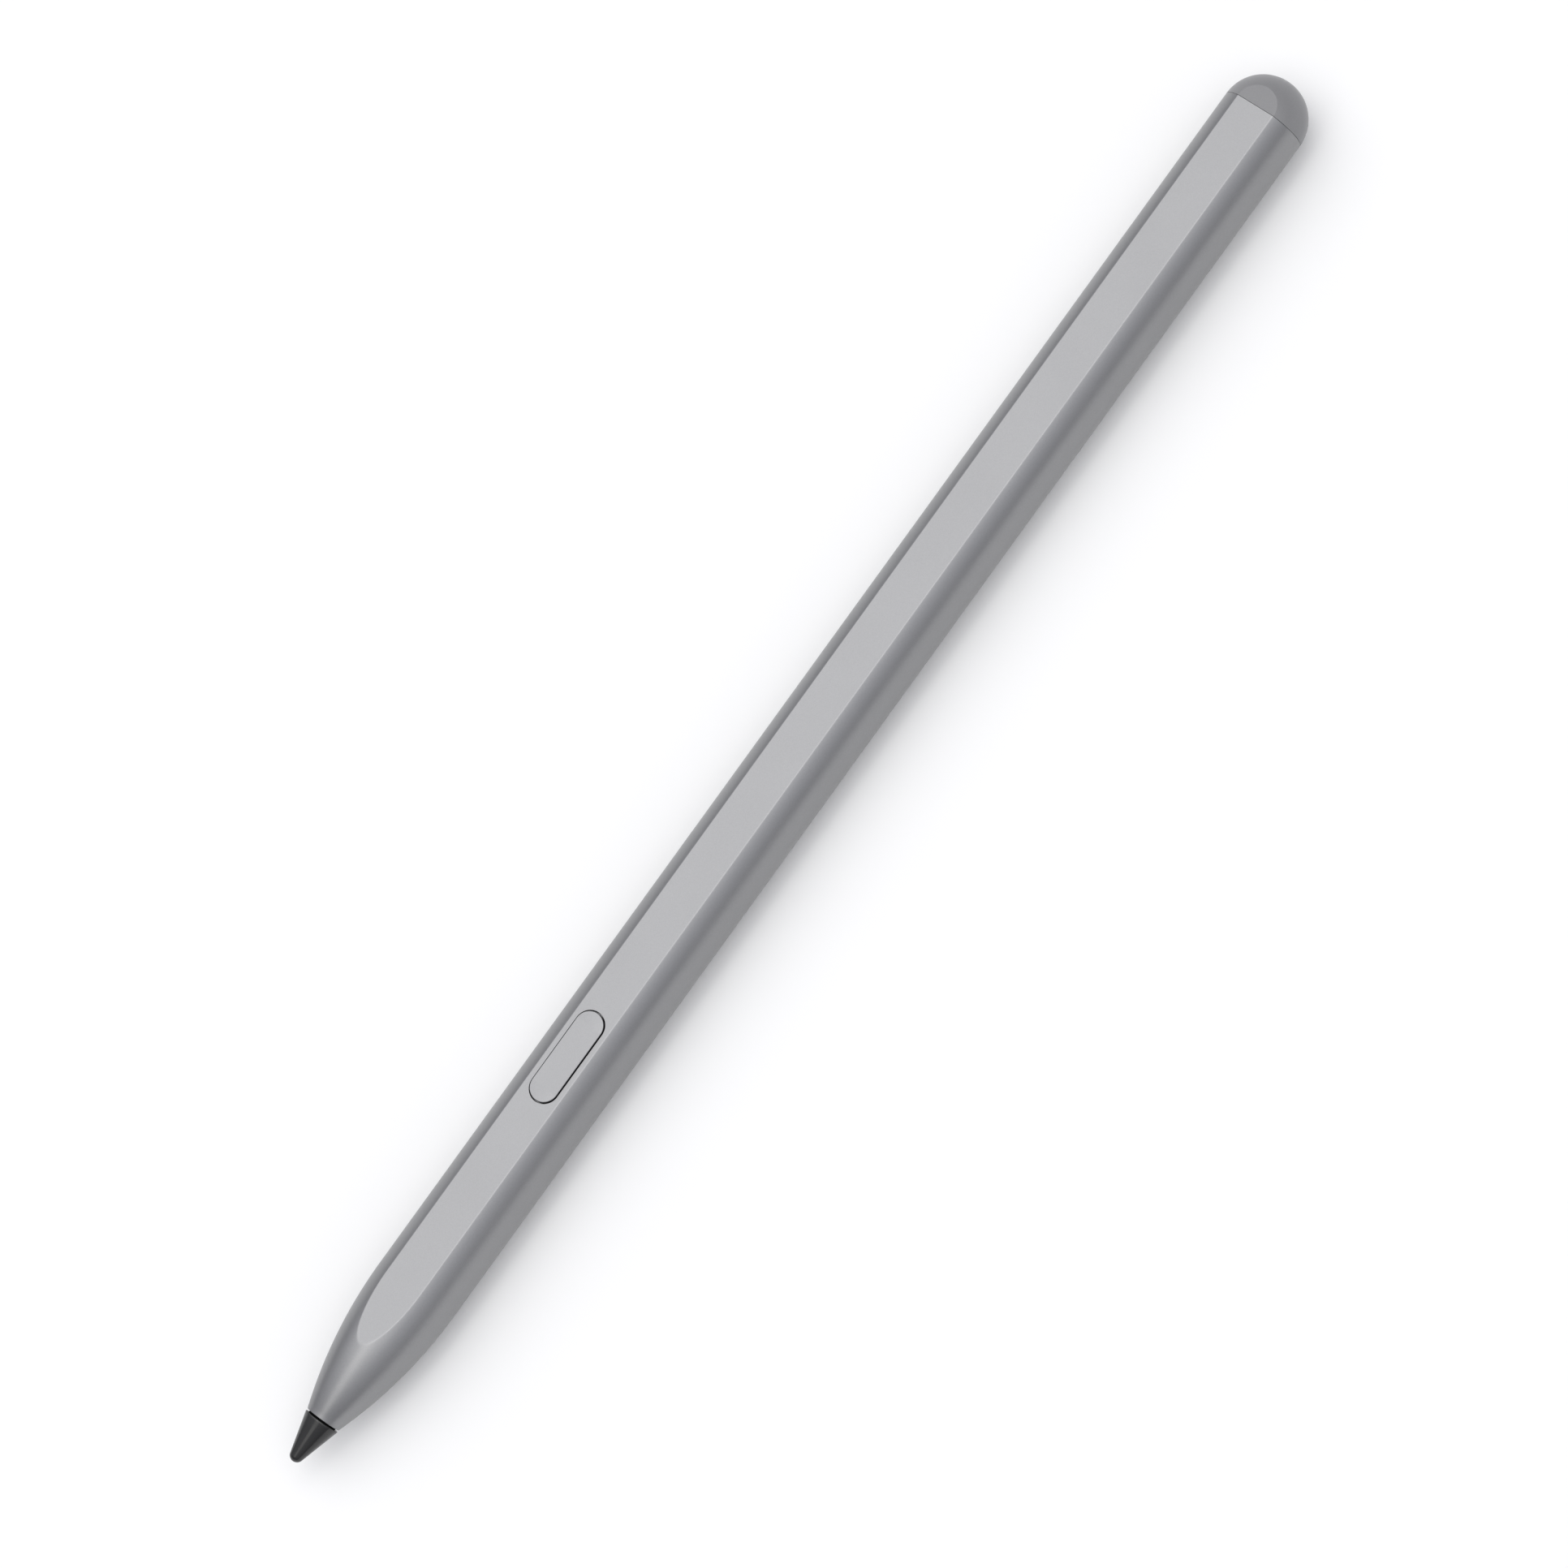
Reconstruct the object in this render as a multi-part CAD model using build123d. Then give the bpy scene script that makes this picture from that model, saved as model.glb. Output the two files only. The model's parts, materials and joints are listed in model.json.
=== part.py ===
from build123d import *
import os
from math import acos, atan2, cos, pi, sin, sqrt

# Driving dimensions of the stylus pen, in millimetres.
# Stations are distances along the pen, counted from the point of the nib.
# Heights are counted from the axis of the pen, towards the flat.

# Outer form
LENGTH = 166.0
BARREL_DIAMETER = 8.9
FLAT_WIDTH = 4.27
FLAT_EDGE_ROUND = 0.3
BARREL_WALL = 0.8
FLAT_WALL = 0.8

# Nose of the barrel
NOSE_LENGTH = 15.42
NOSE_RIM_DIAMETER = 3.72
NOSE_RIM_ROUND = 0.06
NOSE_LIP = 0.21

# Nib
NIB_CONE_LENGTH = 4.8
NIB_BASE_DIAMETER = 3.78
NIB_BASE_ROUND = 0.08
NIB_POINT_RADIUS = 0.72
NIB_GAP = 0.18
NIB_TRAVEL = 0.13
NIB_COLLAR_LENGTH = 1.6
NIB_COLLAR_CLEARANCE = 0.1
NIB_STEM_DIAMETER = 1.5
NIB_STEM_LENGTH = 6.2
NIB_STEM_CLEARANCE = 0.03

# Nib holder and pressure sensor
HOLDER_WALL = 0.32
HOLDER_CLEARANCE = 0.05
HOLDER_SLIT_WIDTH = 0.25
HOLDER_SLIT_LENGTH = 3.2
SOCKET_END_GAP = 0.2
FLANGE_DIAMETER = 3.5
FLANGE_THICKNESS = 0.7
PUSH_PIN_DIAMETER = 1.2
PLATE_DIAMETER = 2.2
PLATE_THICKNESS = 0.4
PLATE_CLEARANCE = 0.06
SPRING_DIAMETER = 3.3
SPRING_WIRE = 0.28
SPRING_TURNS = 5
SPRING_END_CLEARANCE = 0.02
SENSOR_DIAMETER = 4.6
SENSOR_LENGTH = 2.4
SENSOR_PROUD = 0.5
SENSOR_EDGE = 0.2
SENSOR_FIT = 0.05

# Guide bush and tilt electrode
BUSH_LENGTH = 6.5
BUSH_GAP = 0.1
BUSH_FIT = 0.05
TILT_LENGTH = 3.0
TILT_WALL = 0.3
TILT_FIT = 0.02

# Side button and its switch
BUTTON_STATION = 47.18
BUTTON_LENGTH = 10.28
BUTTON_WIDTH = 3.04
BUTTON_SIDE_GAP = 0.09
BUTTON_END_GAP = 0.12
BUTTON_PROUD = 0.2
BUTTON_TOP_ROUND = 0.08
BUTTON_TRAVEL = 0.2
EAR_LENGTH = 0.8
EAR_WIDTH = 2.2
EAR_THICKNESS = 0.5
EAR_GAP = 0.03
SLOT_RIM_ROUND = 0.03
SWITCH_LENGTH = 3.4
SWITCH_WIDTH = 2.6
SWITCH_HEIGHT = 1.4
PLUNGER_DIAMETER = 1.2
PLUNGER_PROUD = 0.4
PLUNGER_DEPTH = 0.5
PLUNGER_CLEARANCE = 0.06

# Front frame
FRAME_CLEARANCE = 0.05
FRAME_WALL = 0.5
FRAME_NOSE_LENGTH = 2.0
FRAME_END_WALL = 0.8
FRAME_SIDE_RISE = 0.7
BULKHEAD_WEB = 0.8
LEDGE_WIDTH = 0.7
CHANNEL_DEPTH = 1.6

# Main board and what is on it
BOARD_LENGTH = 41.0
BOARD_THICKNESS = 0.8
BOARD_DROP = 0.9
BOARD_FIT = 0.06
PROCESSOR_SIDE = 4.2
PROCESSOR_HEIGHT = 0.75
PROCESSOR_SHARE = 0.24
RADIO_SIDE = 3.2
RADIO_HEIGHT = 0.65
RADIO_SHARE = 0.43
CRYSTAL_LENGTH = 1.6
CRYSTAL_WIDTH = 2.0
CRYSTAL_HEIGHT = 0.5
CRYSTAL_SHARE = 0.335
CAPACITOR_LENGTH = 1.0
CAPACITOR_WIDTH = 0.5
CAPACITOR_HEIGHT = 0.5
CAPACITOR_INSET = 0.45
CAPACITOR_SHARES = (0.55, 0.62, 0.69, 0.76, 0.83)
SCREW_INSET = 4.5
SCREW_DIAMETER = 1.0
SCREW_HEAD_DIAMETER = 1.7
SCREW_HEAD_HEIGHT = 0.4
SCREW_BITE = 1.1
SCREW_RECESS_WIDTH = 0.25
SCREW_RECESS_LENGTH = 1.0
SCREW_RECESS_DEPTH = 0.2
SCREW_FIT = 0.02
SCREW_HOLE_CLEARANCE = 0.1
SCREW_POST_DIAMETER = 2.0
SCREW_END_GAP = 0.15

# Flexible strips
FLEX_THICKNESS = 0.12
FLEX_FIT = 0.03
FLEX_LAP = 2.0
FLEX_END_GAP = 0.2
SENSOR_FLEX_WIDTH = 2.0
POWER_FLEX_WIDTH = 3.4

# Magnetic charging dock
DOCK_RIB = 0.8
DOCK_SIDE = 0.3
DOCK_SINK = 0.05
DOCK_FIT = 0.05
MAGNET_LENGTH = 6.0
MAGNET_THICKNESS = 1.2
COIL_LENGTH = 18.0
COIL_BAND = 0.95
COIL_THICKNESS = 0.6
FERRITE_THICKNESS = 0.6

# Battery and its tray
TRAY_WALL = 0.8
TRAY_RISE = 0.8
TAB_SPACE = 3.0
TAIL_BLOCK = 4.5
CELL_FIT = 0.06
CELL_EDGE_ROUND = 0.25
HEADER_DIAMETER = 1.8
HEADER_PROUD = 0.3
TAB_WIDTH = 0.7
TAB_THICKNESS = 0.12
TAB_RISE = 1.35
TAB_FOOT = 1.2
TAB_OFFSET = 0.45
TAB_PITCH = 1.75

# Tail
DOME_LENGTH = 4.4
SEAM_GAP = 0.03
SPIGOT_LENGTH = 5.0
SPIGOT_WALL = 0.7
SPIGOT_FIT = 0.03
CAP_POCKET = 2.2
END_PAD_THICKNESS = 0.8
ANTENNA_THICKNESS = 0.6
ANTENNA_CLEARANCE = 0.7
ANTENNA_SOCKET = 3.0
ANTENNA_REACH = 1.0
ANTENNA_FIT = 0.05
ANTENNA_CHIP_LENGTH = 3.2
ANTENNA_CHIP_MARGIN = 0.4
ANTENNA_CHIP_HEIGHT = 0.8
ANTENNA_CHIP_INSET = 0.5

# How far a cut runs past the face that it opens
OVERRUN = 1.0

# Sections worked out from the outer form
BARREL_RADIUS = BARREL_DIAMETER / 2
FLAT_HEIGHT = sqrt(BARREL_RADIUS**2 - (FLAT_WIDTH / 2) ** 2)
BORE_RADIUS = BARREL_RADIUS - BARREL_WALL
BORE_FLAT = FLAT_HEIGHT - FLAT_WALL
FRAME_RADIUS = BORE_RADIUS - FRAME_CLEARANCE
FRAME_FLAT = BORE_FLAT - FRAME_CLEARANCE
FRAME_INNER_RADIUS = FRAME_RADIUS - FRAME_WALL

# The nose is one arc, tangent to the barrel where it reaches the full diameter
NOSE_RIM = NIB_CONE_LENGTH + NIB_GAP
NOSE_END = NOSE_RIM + NOSE_LENGTH
NOSE_BORE_RADIUS = NOSE_RIM_DIAMETER / 2 - NOSE_LIP
NOSE_RISE = BARREL_RADIUS - NOSE_RIM_DIAMETER / 2
NOSE_ARC_RADIUS = (NOSE_LENGTH**2 + NOSE_RISE**2) / (2 * NOSE_RISE)

# Stations of the nib and its holder
COLLAR_RADIUS = NOSE_BORE_RADIUS - NIB_COLLAR_CLEARANCE
COLLAR_END = NIB_CONE_LENGTH + NIB_COLLAR_LENGTH
STEM_END = COLLAR_END + NIB_STEM_LENGTH
SOCKET_RADIUS = NIB_STEM_DIAMETER / 2 + NIB_STEM_CLEARANCE
HOLDER_RADIUS = SOCKET_RADIUS + HOLDER_WALL
BUSH_FRONT = COLLAR_END + NIB_TRAVEL + BUSH_GAP
BUSH_REAR = BUSH_FRONT + BUSH_LENGTH
FLANGE_REAR = BUSH_REAR + FLANGE_THICKNESS

# Stations of the pressure sensor and the front frame
FRAME_FRONT = NOSE_END - FRAME_NOSE_LENGTH
SENSOR_FRONT = FRAME_FRONT - SENSOR_PROUD
SENSOR_REAR = SENSOR_FRONT + SENSOR_LENGTH
PLATE_REAR = SENSOR_FRONT - NIB_TRAVEL - PLATE_CLEARANCE
PLATE_FRONT = PLATE_REAR - PLATE_THICKNESS
BULKHEAD_REAR = SENSOR_REAR + BULKHEAD_WEB
BOARD_FRONT = BULKHEAD_REAR + BOARD_FIT
BOARD_REAR = BOARD_FRONT + BOARD_LENGTH
FRAME_REAR = BOARD_REAR + BOARD_FIT + FRAME_END_WALL

# Heights and width of the board
BOARD_BOTTOM = -BOARD_DROP
BOARD_TOP = BOARD_BOTTOM + BOARD_THICKNESS
BOARD_HALF_WIDTH = sqrt(FRAME_INNER_RADIUS**2 - max(abs(BOARD_BOTTOM), abs(BOARD_TOP)) ** 2) - BOARD_FIT
SCREW_STATIONS = (BOARD_FRONT + SCREW_INSET, BOARD_REAR - SCREW_INSET)

# Heights of the side button and its switch
EAR_TOP = BORE_FLAT - EAR_GAP
EAR_BOTTOM = EAR_TOP - EAR_THICKNESS
BUTTON_TOP = FLAT_HEIGHT + BUTTON_PROUD
SWITCH_TOP = BOARD_TOP + SWITCH_HEIGHT
PLUNGER_TOP = SWITCH_TOP + PLUNGER_PROUD

# The dock's pockets lie in a row, with a rib before and after each
DOCK_ITEM_LENGTHS = (MAGNET_LENGTH, MAGNET_LENGTH, COIL_LENGTH, MAGNET_LENGTH, MAGNET_LENGTH)
DOCK_FRONT = FRAME_REAR
DOCK_REAR = DOCK_FRONT + DOCK_RIB + sum(item + 2 * DOCK_FIT + DOCK_RIB for item in DOCK_ITEM_LENGTHS)
DOCK_TOP = FRAME_FLAT - DOCK_SINK
DOCK_ITEM_WIDTH = 2 * (sqrt(FRAME_RADIUS**2 - FRAME_FLAT**2) - DOCK_SIDE - DOCK_FIT)

# Stations of the tail and the battery
SEAM = LENGTH - DOME_LENGTH - SEAM_GAP
DOME_FRONT = SEAM + SEAM_GAP
SPIGOT_FRONT = SEAM - SPIGOT_LENGTH
SPIGOT_RADIUS = BORE_RADIUS - SPIGOT_FIT
SPIGOT_FLAT = BORE_FLAT - SPIGOT_FIT
CAP_HOLLOW_RADIUS = min(SPIGOT_RADIUS, SPIGOT_FLAT) - SPIGOT_WALL
TRAY_FRONT = DOCK_REAR
TRAY_REAR = SPIGOT_FRONT - END_PAD_THICKNESS
TRAY_INNER_FRONT = TRAY_FRONT + TRAY_WALL
CELL_FRONT = TRAY_INNER_FRONT + TAB_SPACE
TRAY_INNER_REAR = TRAY_REAR - TAIL_BLOCK
CELL_REAR = TRAY_INNER_REAR - CELL_FIT
TRAY_BORE_RADIUS = min(FRAME_INNER_RADIUS, FRAME_FLAT)
CELL_RADIUS = TRAY_BORE_RADIUS - CELL_FIT
ANTENNA_FRONT = TRAY_REAR - ANTENNA_SOCKET
ANTENNA_REAR = SEAM + ANTENNA_REACH
ANTENNA_HALF_WIDTH = sqrt(CAP_HOLLOW_RADIUS**2 - (ANTENNA_THICKNESS / 2) ** 2) - ANTENNA_CLEARANCE


def nose_radius(station, inset):
    """Radius of the nose arc at a station, on a surface moved inwards by inset."""
    reach = NOSE_END - station
    return sqrt((NOSE_ARC_RADIUS - inset) ** 2 - reach**2) - (NOSE_ARC_RADIUS - BARREL_RADIUS)


def nose_station(radius, inset):
    """Station at which the nose arc, moved inwards by inset, has a given radius."""
    height = radius + NOSE_ARC_RADIUS - BARREL_RADIUS
    return NOSE_END - sqrt((NOSE_ARC_RADIUS - inset) ** 2 - height**2)


def nose_arc(start, end, inset):
    """Stretch of the nose arc between two stations."""
    middle = (start + end) / 2
    points = [(station, nose_radius(station, inset)) for station in (start, middle, end)]
    return ThreePointArc(*points)


def turned(*lines):
    """Solid turned about the pen's axis from a closed outline of station and radius."""
    return revolve(make_face(list(lines)), Axis.X)


def rod(radius, start, end):
    """Round rod along the axis."""
    return extrude(Plane.YZ.offset(start) * Circle(radius), end - start)


def flatted_rod(radius, flat, start, end):
    """Round rod along the axis with its top cut flat."""
    section = Circle(radius) & Pos(0, (flat - radius) / 2) * Rectangle(2 * radius, flat + radius)
    return extrude(Plane.YZ.offset(start) * section, end - start)


def post(station, radius, bottom, top):
    """Upright round post."""
    return Pos(station, 0, bottom) * extrude(Circle(radius), top - bottom)


def pill(station, length, width, bottom, top):
    """Upright pill-shaped block centred at a station."""
    return Pos(station, 0, bottom) * extrude(SlotOverall(length, width), top - bottom)


def block(start, end, half_width, bottom, top, offset=0):
    """Upright rectangular block between two stations, moved sideways by offset."""
    body = Box(end - start, 2 * half_width, top - bottom)
    return Pos((start + end) / 2, offset, (bottom + top) / 2) * body


def flat_outline(shape):
    """Edges round the flat of a shape, apart from the straight one across it."""
    edges = shape.faces().sort_by(Axis.Z)[-1].outer_wire().edges()
    across = edges.filter_by(Axis.Y)
    return [edge for edge in edges if edge not in across]


def barrel():
    """Shell of the pen: a tube with one flat and a pointed nose, open at both ends."""
    outside = turned(
        Polyline((NOSE_RIM, 0), (NOSE_RIM, nose_radius(NOSE_RIM, 0))),
        nose_arc(NOSE_RIM, NOSE_END, 0),
        Polyline((NOSE_END, BARREL_RADIUS), (SEAM, BARREL_RADIUS), (SEAM, 0), (NOSE_RIM, 0)),
    )
    outside &= block(NOSE_RIM, SEAM, BARREL_RADIUS, -BARREL_RADIUS, FLAT_HEIGHT)
    outside = fillet(flat_outline(outside), FLAT_EDGE_ROUND)
    rim = outside.edges().filter_by(GeomType.CIRCLE).sort_by(Axis.X)[0]
    outside = fillet(rim, NOSE_RIM_ROUND)
    bore_end = nose_station(NOSE_BORE_RADIUS, BARREL_WALL)
    mouth = NOSE_RIM - OVERRUN
    open_end = SEAM + OVERRUN
    inside = turned(
        Polyline((mouth, 0), (mouth, NOSE_BORE_RADIUS), (bore_end, NOSE_BORE_RADIUS)),
        nose_arc(bore_end, NOSE_END, BARREL_WALL),
        Polyline((NOSE_END, BORE_RADIUS), (open_end, BORE_RADIUS), (open_end, 0), (mouth, 0)),
    )
    inside &= block(mouth, open_end, BORE_RADIUS, -BORE_RADIUS, BORE_FLAT)
    slot_length = BUTTON_LENGTH + 2 * BUTTON_END_GAP
    slot_width = BUTTON_WIDTH + 2 * BUTTON_SIDE_GAP
    slot = pill(BUTTON_STATION, slot_length, slot_width, 0, FLAT_HEIGHT + OVERRUN)
    shell = outside - inside - slot
    flat = shell.faces().sort_by(Axis.Z)[-1]
    return fillet(flat.inner_wires()[0].edges(), SLOT_RIM_ROUND)


def end_cap():
    """Domed tail with a hollow spigot that plugs the barrel."""
    stub = DOME_FRONT - OVERRUN
    dome = turned(
        Polyline((LENGTH, 0), (stub, 0), (stub, BARREL_RADIUS), (DOME_FRONT, BARREL_RADIUS)),
        EllipticalCenterArc((DOME_FRONT, 0), DOME_LENGTH, BARREL_RADIUS),
    )
    dome &= block(stub, LENGTH, BARREL_RADIUS, -BARREL_RADIUS, FLAT_HEIGHT)
    dome = fillet(flat_outline(dome), FLAT_EDGE_ROUND)
    dome &= block(DOME_FRONT, LENGTH, BARREL_RADIUS, -BARREL_RADIUS, FLAT_HEIGHT)
    spigot = flatted_rod(SPIGOT_RADIUS, SPIGOT_FLAT, SPIGOT_FRONT, DOME_FRONT)
    hollow = rod(CAP_HOLLOW_RADIUS, SPIGOT_FRONT - OVERRUN, DOME_FRONT + CAP_POCKET)
    return dome + spigot - hollow


def nib_point(angle):
    """Point on the nib's round end, at an angle from its tip about the middle of the round."""
    return (NIB_POINT_RADIUS - NIB_POINT_RADIUS * cos(angle), NIB_POINT_RADIUS * sin(angle))


def nib():
    """Writing nib: blunt cone, collar in the nose bore and stem in the holder."""
    base = NIB_BASE_DIAMETER / 2
    reach = NIB_CONE_LENGTH - NIB_POINT_RADIUS
    slope = acos(NIB_POINT_RADIUS / sqrt(base**2 + reach**2)) - atan2(reach, base)
    edge = pi / 2 - slope
    stem = NIB_STEM_DIAMETER / 2
    shape = turned(
        ThreePointArc(nib_point(0), nib_point(edge / 2), nib_point(edge)),
        Polyline(
            nib_point(edge),
            (NIB_CONE_LENGTH, base),
            (NIB_CONE_LENGTH, COLLAR_RADIUS),
            (COLLAR_END, COLLAR_RADIUS),
            (COLLAR_END, stem),
            (STEM_END, stem),
            (STEM_END, 0),
            (0, 0),
        ),
    )
    widest = shape.edges().filter_by(GeomType.CIRCLE).sort_by(SortBy.RADIUS)[-1]
    return fillet(widest, NIB_BASE_ROUND)


def nib_holder():
    """Slit sleeve that grips the stem, with a flange for the spring and a push pin behind."""
    shape = rod(HOLDER_RADIUS, COLLAR_END, BUSH_REAR)
    shape += rod(FLANGE_DIAMETER / 2, BUSH_REAR, FLANGE_REAR)
    shape += rod(PUSH_PIN_DIAMETER / 2, FLANGE_REAR, PLATE_FRONT)
    shape -= rod(SOCKET_RADIUS, COLLAR_END - OVERRUN, STEM_END + SOCKET_END_GAP)
    slit_end = COLLAR_END + HOLDER_SLIT_LENGTH
    half_slit = HOLDER_SLIT_WIDTH / 2
    return shape - block(COLLAR_END - OVERRUN, slit_end, half_slit, -BORE_RADIUS, BORE_RADIUS)


def force_plate():
    """Moving plate of the pressure sensor, on the end of the push pin."""
    return rod(PLATE_DIAMETER / 2, PLATE_FRONT, PLATE_REAR)


def return_spring():
    """Coil spring between the holder's flange and the sensor."""
    start = FLANGE_REAR + SPRING_WIRE / 2 + SPRING_END_CLEARANCE
    end = SENSOR_FRONT - SPRING_WIRE / 2 - SPRING_END_CLEARANCE
    radius = (SPRING_DIAMETER - SPRING_WIRE) / 2
    coil = Helix((end - start) / SPRING_TURNS, end - start, radius)
    wire = sweep(Plane(coil @ 0, z_dir=coil % 0) * Circle(SPRING_WIRE / 2), coil, is_frenet=True)
    return Pos(start, 0, 0) * Rot(0, 90, 0) * wire


def force_sensor():
    """Fixed half of the pressure sensor, seated in the front frame."""
    shape = rod(SENSOR_DIAMETER / 2, SENSOR_FRONT, SENSOR_REAR)
    return chamfer(shape.edges().filter_by(GeomType.CIRCLE).sort_by(Axis.X)[0], SENSOR_EDGE)


def tilt_radius():
    """Outer radius of the tilt electrode, where its front edge meets the nose."""
    return nose_radius(BUSH_REAR - TILT_LENGTH, BARREL_WALL + BUSH_FIT)


def guide_bush():
    """Bush that fills the nose, guides the holder and carries the tilt electrode."""
    bore = HOLDER_RADIUS + HOLDER_CLEARANCE
    inset = BARREL_WALL + BUSH_FIT
    step = BUSH_REAR - TILT_LENGTH
    neck = tilt_radius() - TILT_WALL - TILT_FIT
    return turned(
        Polyline((BUSH_FRONT, bore), (BUSH_FRONT, nose_radius(BUSH_FRONT, inset))),
        nose_arc(BUSH_FRONT, step, inset),
        Polyline(
            (step, tilt_radius()), (step, neck), (BUSH_REAR, neck), (BUSH_REAR, bore), (BUSH_FRONT, bore)
        ),
    )


def tilt_electrode():
    """Metal ring on the neck of the guide bush."""
    step = BUSH_REAR - TILT_LENGTH
    return rod(tilt_radius(), step, BUSH_REAR) - rod(tilt_radius() - TILT_WALL, step, BUSH_REAR)


def side_button():
    """Pill-shaped key with two ears under the wall and a foot on the switch."""
    key = pill(BUTTON_STATION, BUTTON_LENGTH, BUTTON_WIDTH, EAR_BOTTOM, BUTTON_TOP)
    key = fillet(key.faces().sort_by(Axis.Z)[-1].edges(), BUTTON_TOP_ROUND)
    key += pill(BUTTON_STATION, BUTTON_LENGTH + 2 * EAR_LENGTH, EAR_WIDTH, EAR_BOTTOM, EAR_TOP)
    return key + post(BUTTON_STATION, PLUNGER_DIAMETER / 2, PLUNGER_TOP, EAR_BOTTOM)


def button_switch():
    """Body of the tact switch, soldered to the board under the key."""
    half_length = SWITCH_LENGTH / 2
    start = BUTTON_STATION - half_length
    end = BUTTON_STATION + half_length
    shape = block(start, end, SWITCH_WIDTH / 2, BOARD_TOP, SWITCH_TOP)
    floor = SWITCH_TOP - PLUNGER_DEPTH - BUTTON_TRAVEL - PLUNGER_CLEARANCE
    return shape - post(BUTTON_STATION, PLUNGER_DIAMETER / 2 + PLUNGER_CLEARANCE, floor, SWITCH_TOP + OVERRUN)


def switch_plunger():
    """Round plunger of the tact switch, which moves with the key."""
    return post(BUTTON_STATION, PLUNGER_DIAMETER / 2, SWITCH_TOP - PLUNGER_DEPTH, PLUNGER_TOP)


def power_flex_slot(start, end):
    """Opening through an end wall for the power strip."""
    half_width = POWER_FLEX_WIDTH / 2 + FLEX_FIT
    return block(start, end, half_width, BOARD_BOTTOM - FLEX_THICKNESS - FLEX_FIT, BOARD_BOTTOM)


def front_frame():
    """Frame behind the nose: a bulkhead with the sensor's seat and a trough for the board."""
    shape = turned(
        Polyline((FRAME_FRONT, 0), (FRAME_FRONT, nose_radius(FRAME_FRONT, BARREL_WALL + FRAME_CLEARANCE))),
        nose_arc(FRAME_FRONT, NOSE_END, BARREL_WALL + FRAME_CLEARANCE),
        Polyline((NOSE_END, FRAME_RADIUS), (FRAME_REAR, FRAME_RADIUS), (FRAME_REAR, 0), (FRAME_FRONT, 0)),
    )
    shape &= block(FRAME_FRONT, FRAME_REAR, FRAME_RADIUS, -FRAME_RADIUS, FRAME_FLAT)
    trough_rear = BOARD_REAR + BOARD_FIT
    inner = rod(FRAME_INNER_RADIUS, BULKHEAD_REAR, trough_rear)
    channel_half_width = BOARD_HALF_WIDTH - LEDGE_WIDTH
    channel_floor = BOARD_BOTTOM - CHANNEL_DEPTH
    trough = inner & block(BULKHEAD_REAR, trough_rear, FRAME_RADIUS, BOARD_BOTTOM, FRAME_RADIUS)
    channel = inner & block(BULKHEAD_REAR, trough_rear, channel_half_width, channel_floor, BOARD_BOTTOM)
    side_top = BOARD_TOP + FRAME_SIDE_RISE
    opening = block(BULKHEAD_REAR, trough_rear, FRAME_RADIUS, side_top, FRAME_RADIUS)
    shape -= trough + channel + opening
    shape -= rod(SENSOR_DIAMETER / 2 + SENSOR_FIT, FRAME_FRONT - OVERRUN, SENSOR_REAR)
    flex_half_width = SENSOR_FLEX_WIDTH / 2 + FLEX_FIT
    flex_top = BOARD_TOP + FLEX_THICKNESS + FLEX_FIT
    shape -= block(SENSOR_REAR - OVERRUN, BULKHEAD_REAR + OVERRUN, flex_half_width, BOARD_TOP, flex_top)
    shape -= power_flex_slot(BOARD_REAR, FRAME_REAR + OVERRUN)
    for station in SCREW_STATIONS:
        shape += post(station, SCREW_POST_DIAMETER / 2, channel_floor, BOARD_BOTTOM)
        hole_floor = BOARD_BOTTOM - SCREW_BITE - SCREW_END_GAP
        shape -= post(station, SCREW_DIAMETER / 2 + SCREW_FIT, hole_floor, BOARD_BOTTOM)
    return shape


def main_board():
    """Circuit board on the ledges of the front frame."""
    shape = block(BOARD_FRONT, BOARD_REAR, BOARD_HALF_WIDTH, BOARD_BOTTOM, BOARD_TOP)
    for station in SCREW_STATIONS:
        hole_radius = SCREW_DIAMETER / 2 + SCREW_HOLE_CLEARANCE
        shape -= post(station, hole_radius, BOARD_BOTTOM - OVERRUN, BOARD_TOP + OVERRUN)
    return shape


def on_board(share, length, width, height, offset=0):
    """Block soldered to the top of the board, centred at a share of the board's length."""
    middle = BOARD_FRONT + share * BOARD_LENGTH
    half_length = length / 2
    return block(middle - half_length, middle + half_length, width / 2, BOARD_TOP, BOARD_TOP + height, offset)


def board_capacitors():
    """Two rows of chip capacitors along the edges of the board."""
    row = BOARD_HALF_WIDTH - CAPACITOR_INSET
    size = (CAPACITOR_LENGTH, CAPACITOR_WIDTH, CAPACITOR_HEIGHT)
    return Compound([on_board(share, *size, side) for share in CAPACITOR_SHARES for side in (-row, row)])


def board_screw(station):
    """Cross-head screw through the board into its post."""
    head_top = BOARD_TOP + SCREW_HEAD_HEIGHT
    shape = post(station, SCREW_HEAD_DIAMETER / 2, BOARD_TOP, head_top)
    shape += post(station, SCREW_DIAMETER / 2, BOARD_BOTTOM - SCREW_BITE, BOARD_TOP)
    recess_floor = head_top - SCREW_RECESS_DEPTH
    for half_length, half_width in (
        (SCREW_RECESS_LENGTH / 2, SCREW_RECESS_WIDTH / 2),
        (SCREW_RECESS_WIDTH / 2, SCREW_RECESS_LENGTH / 2),
    ):
        start = station - half_length
        end = station + half_length
        shape -= block(start, end, half_width, recess_floor, head_top + OVERRUN)
    return shape


def board_screws():
    """The two screws that hold the board."""
    return Compound([board_screw(station) for station in SCREW_STATIONS])


def sensor_flex():
    """Flexible strip from the back of the sensor to the top of the board."""
    end = BOARD_FRONT + FLEX_LAP
    return block(SENSOR_REAR, end, SENSOR_FLEX_WIDTH / 2, BOARD_TOP, BOARD_TOP + FLEX_THICKNESS)


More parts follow.
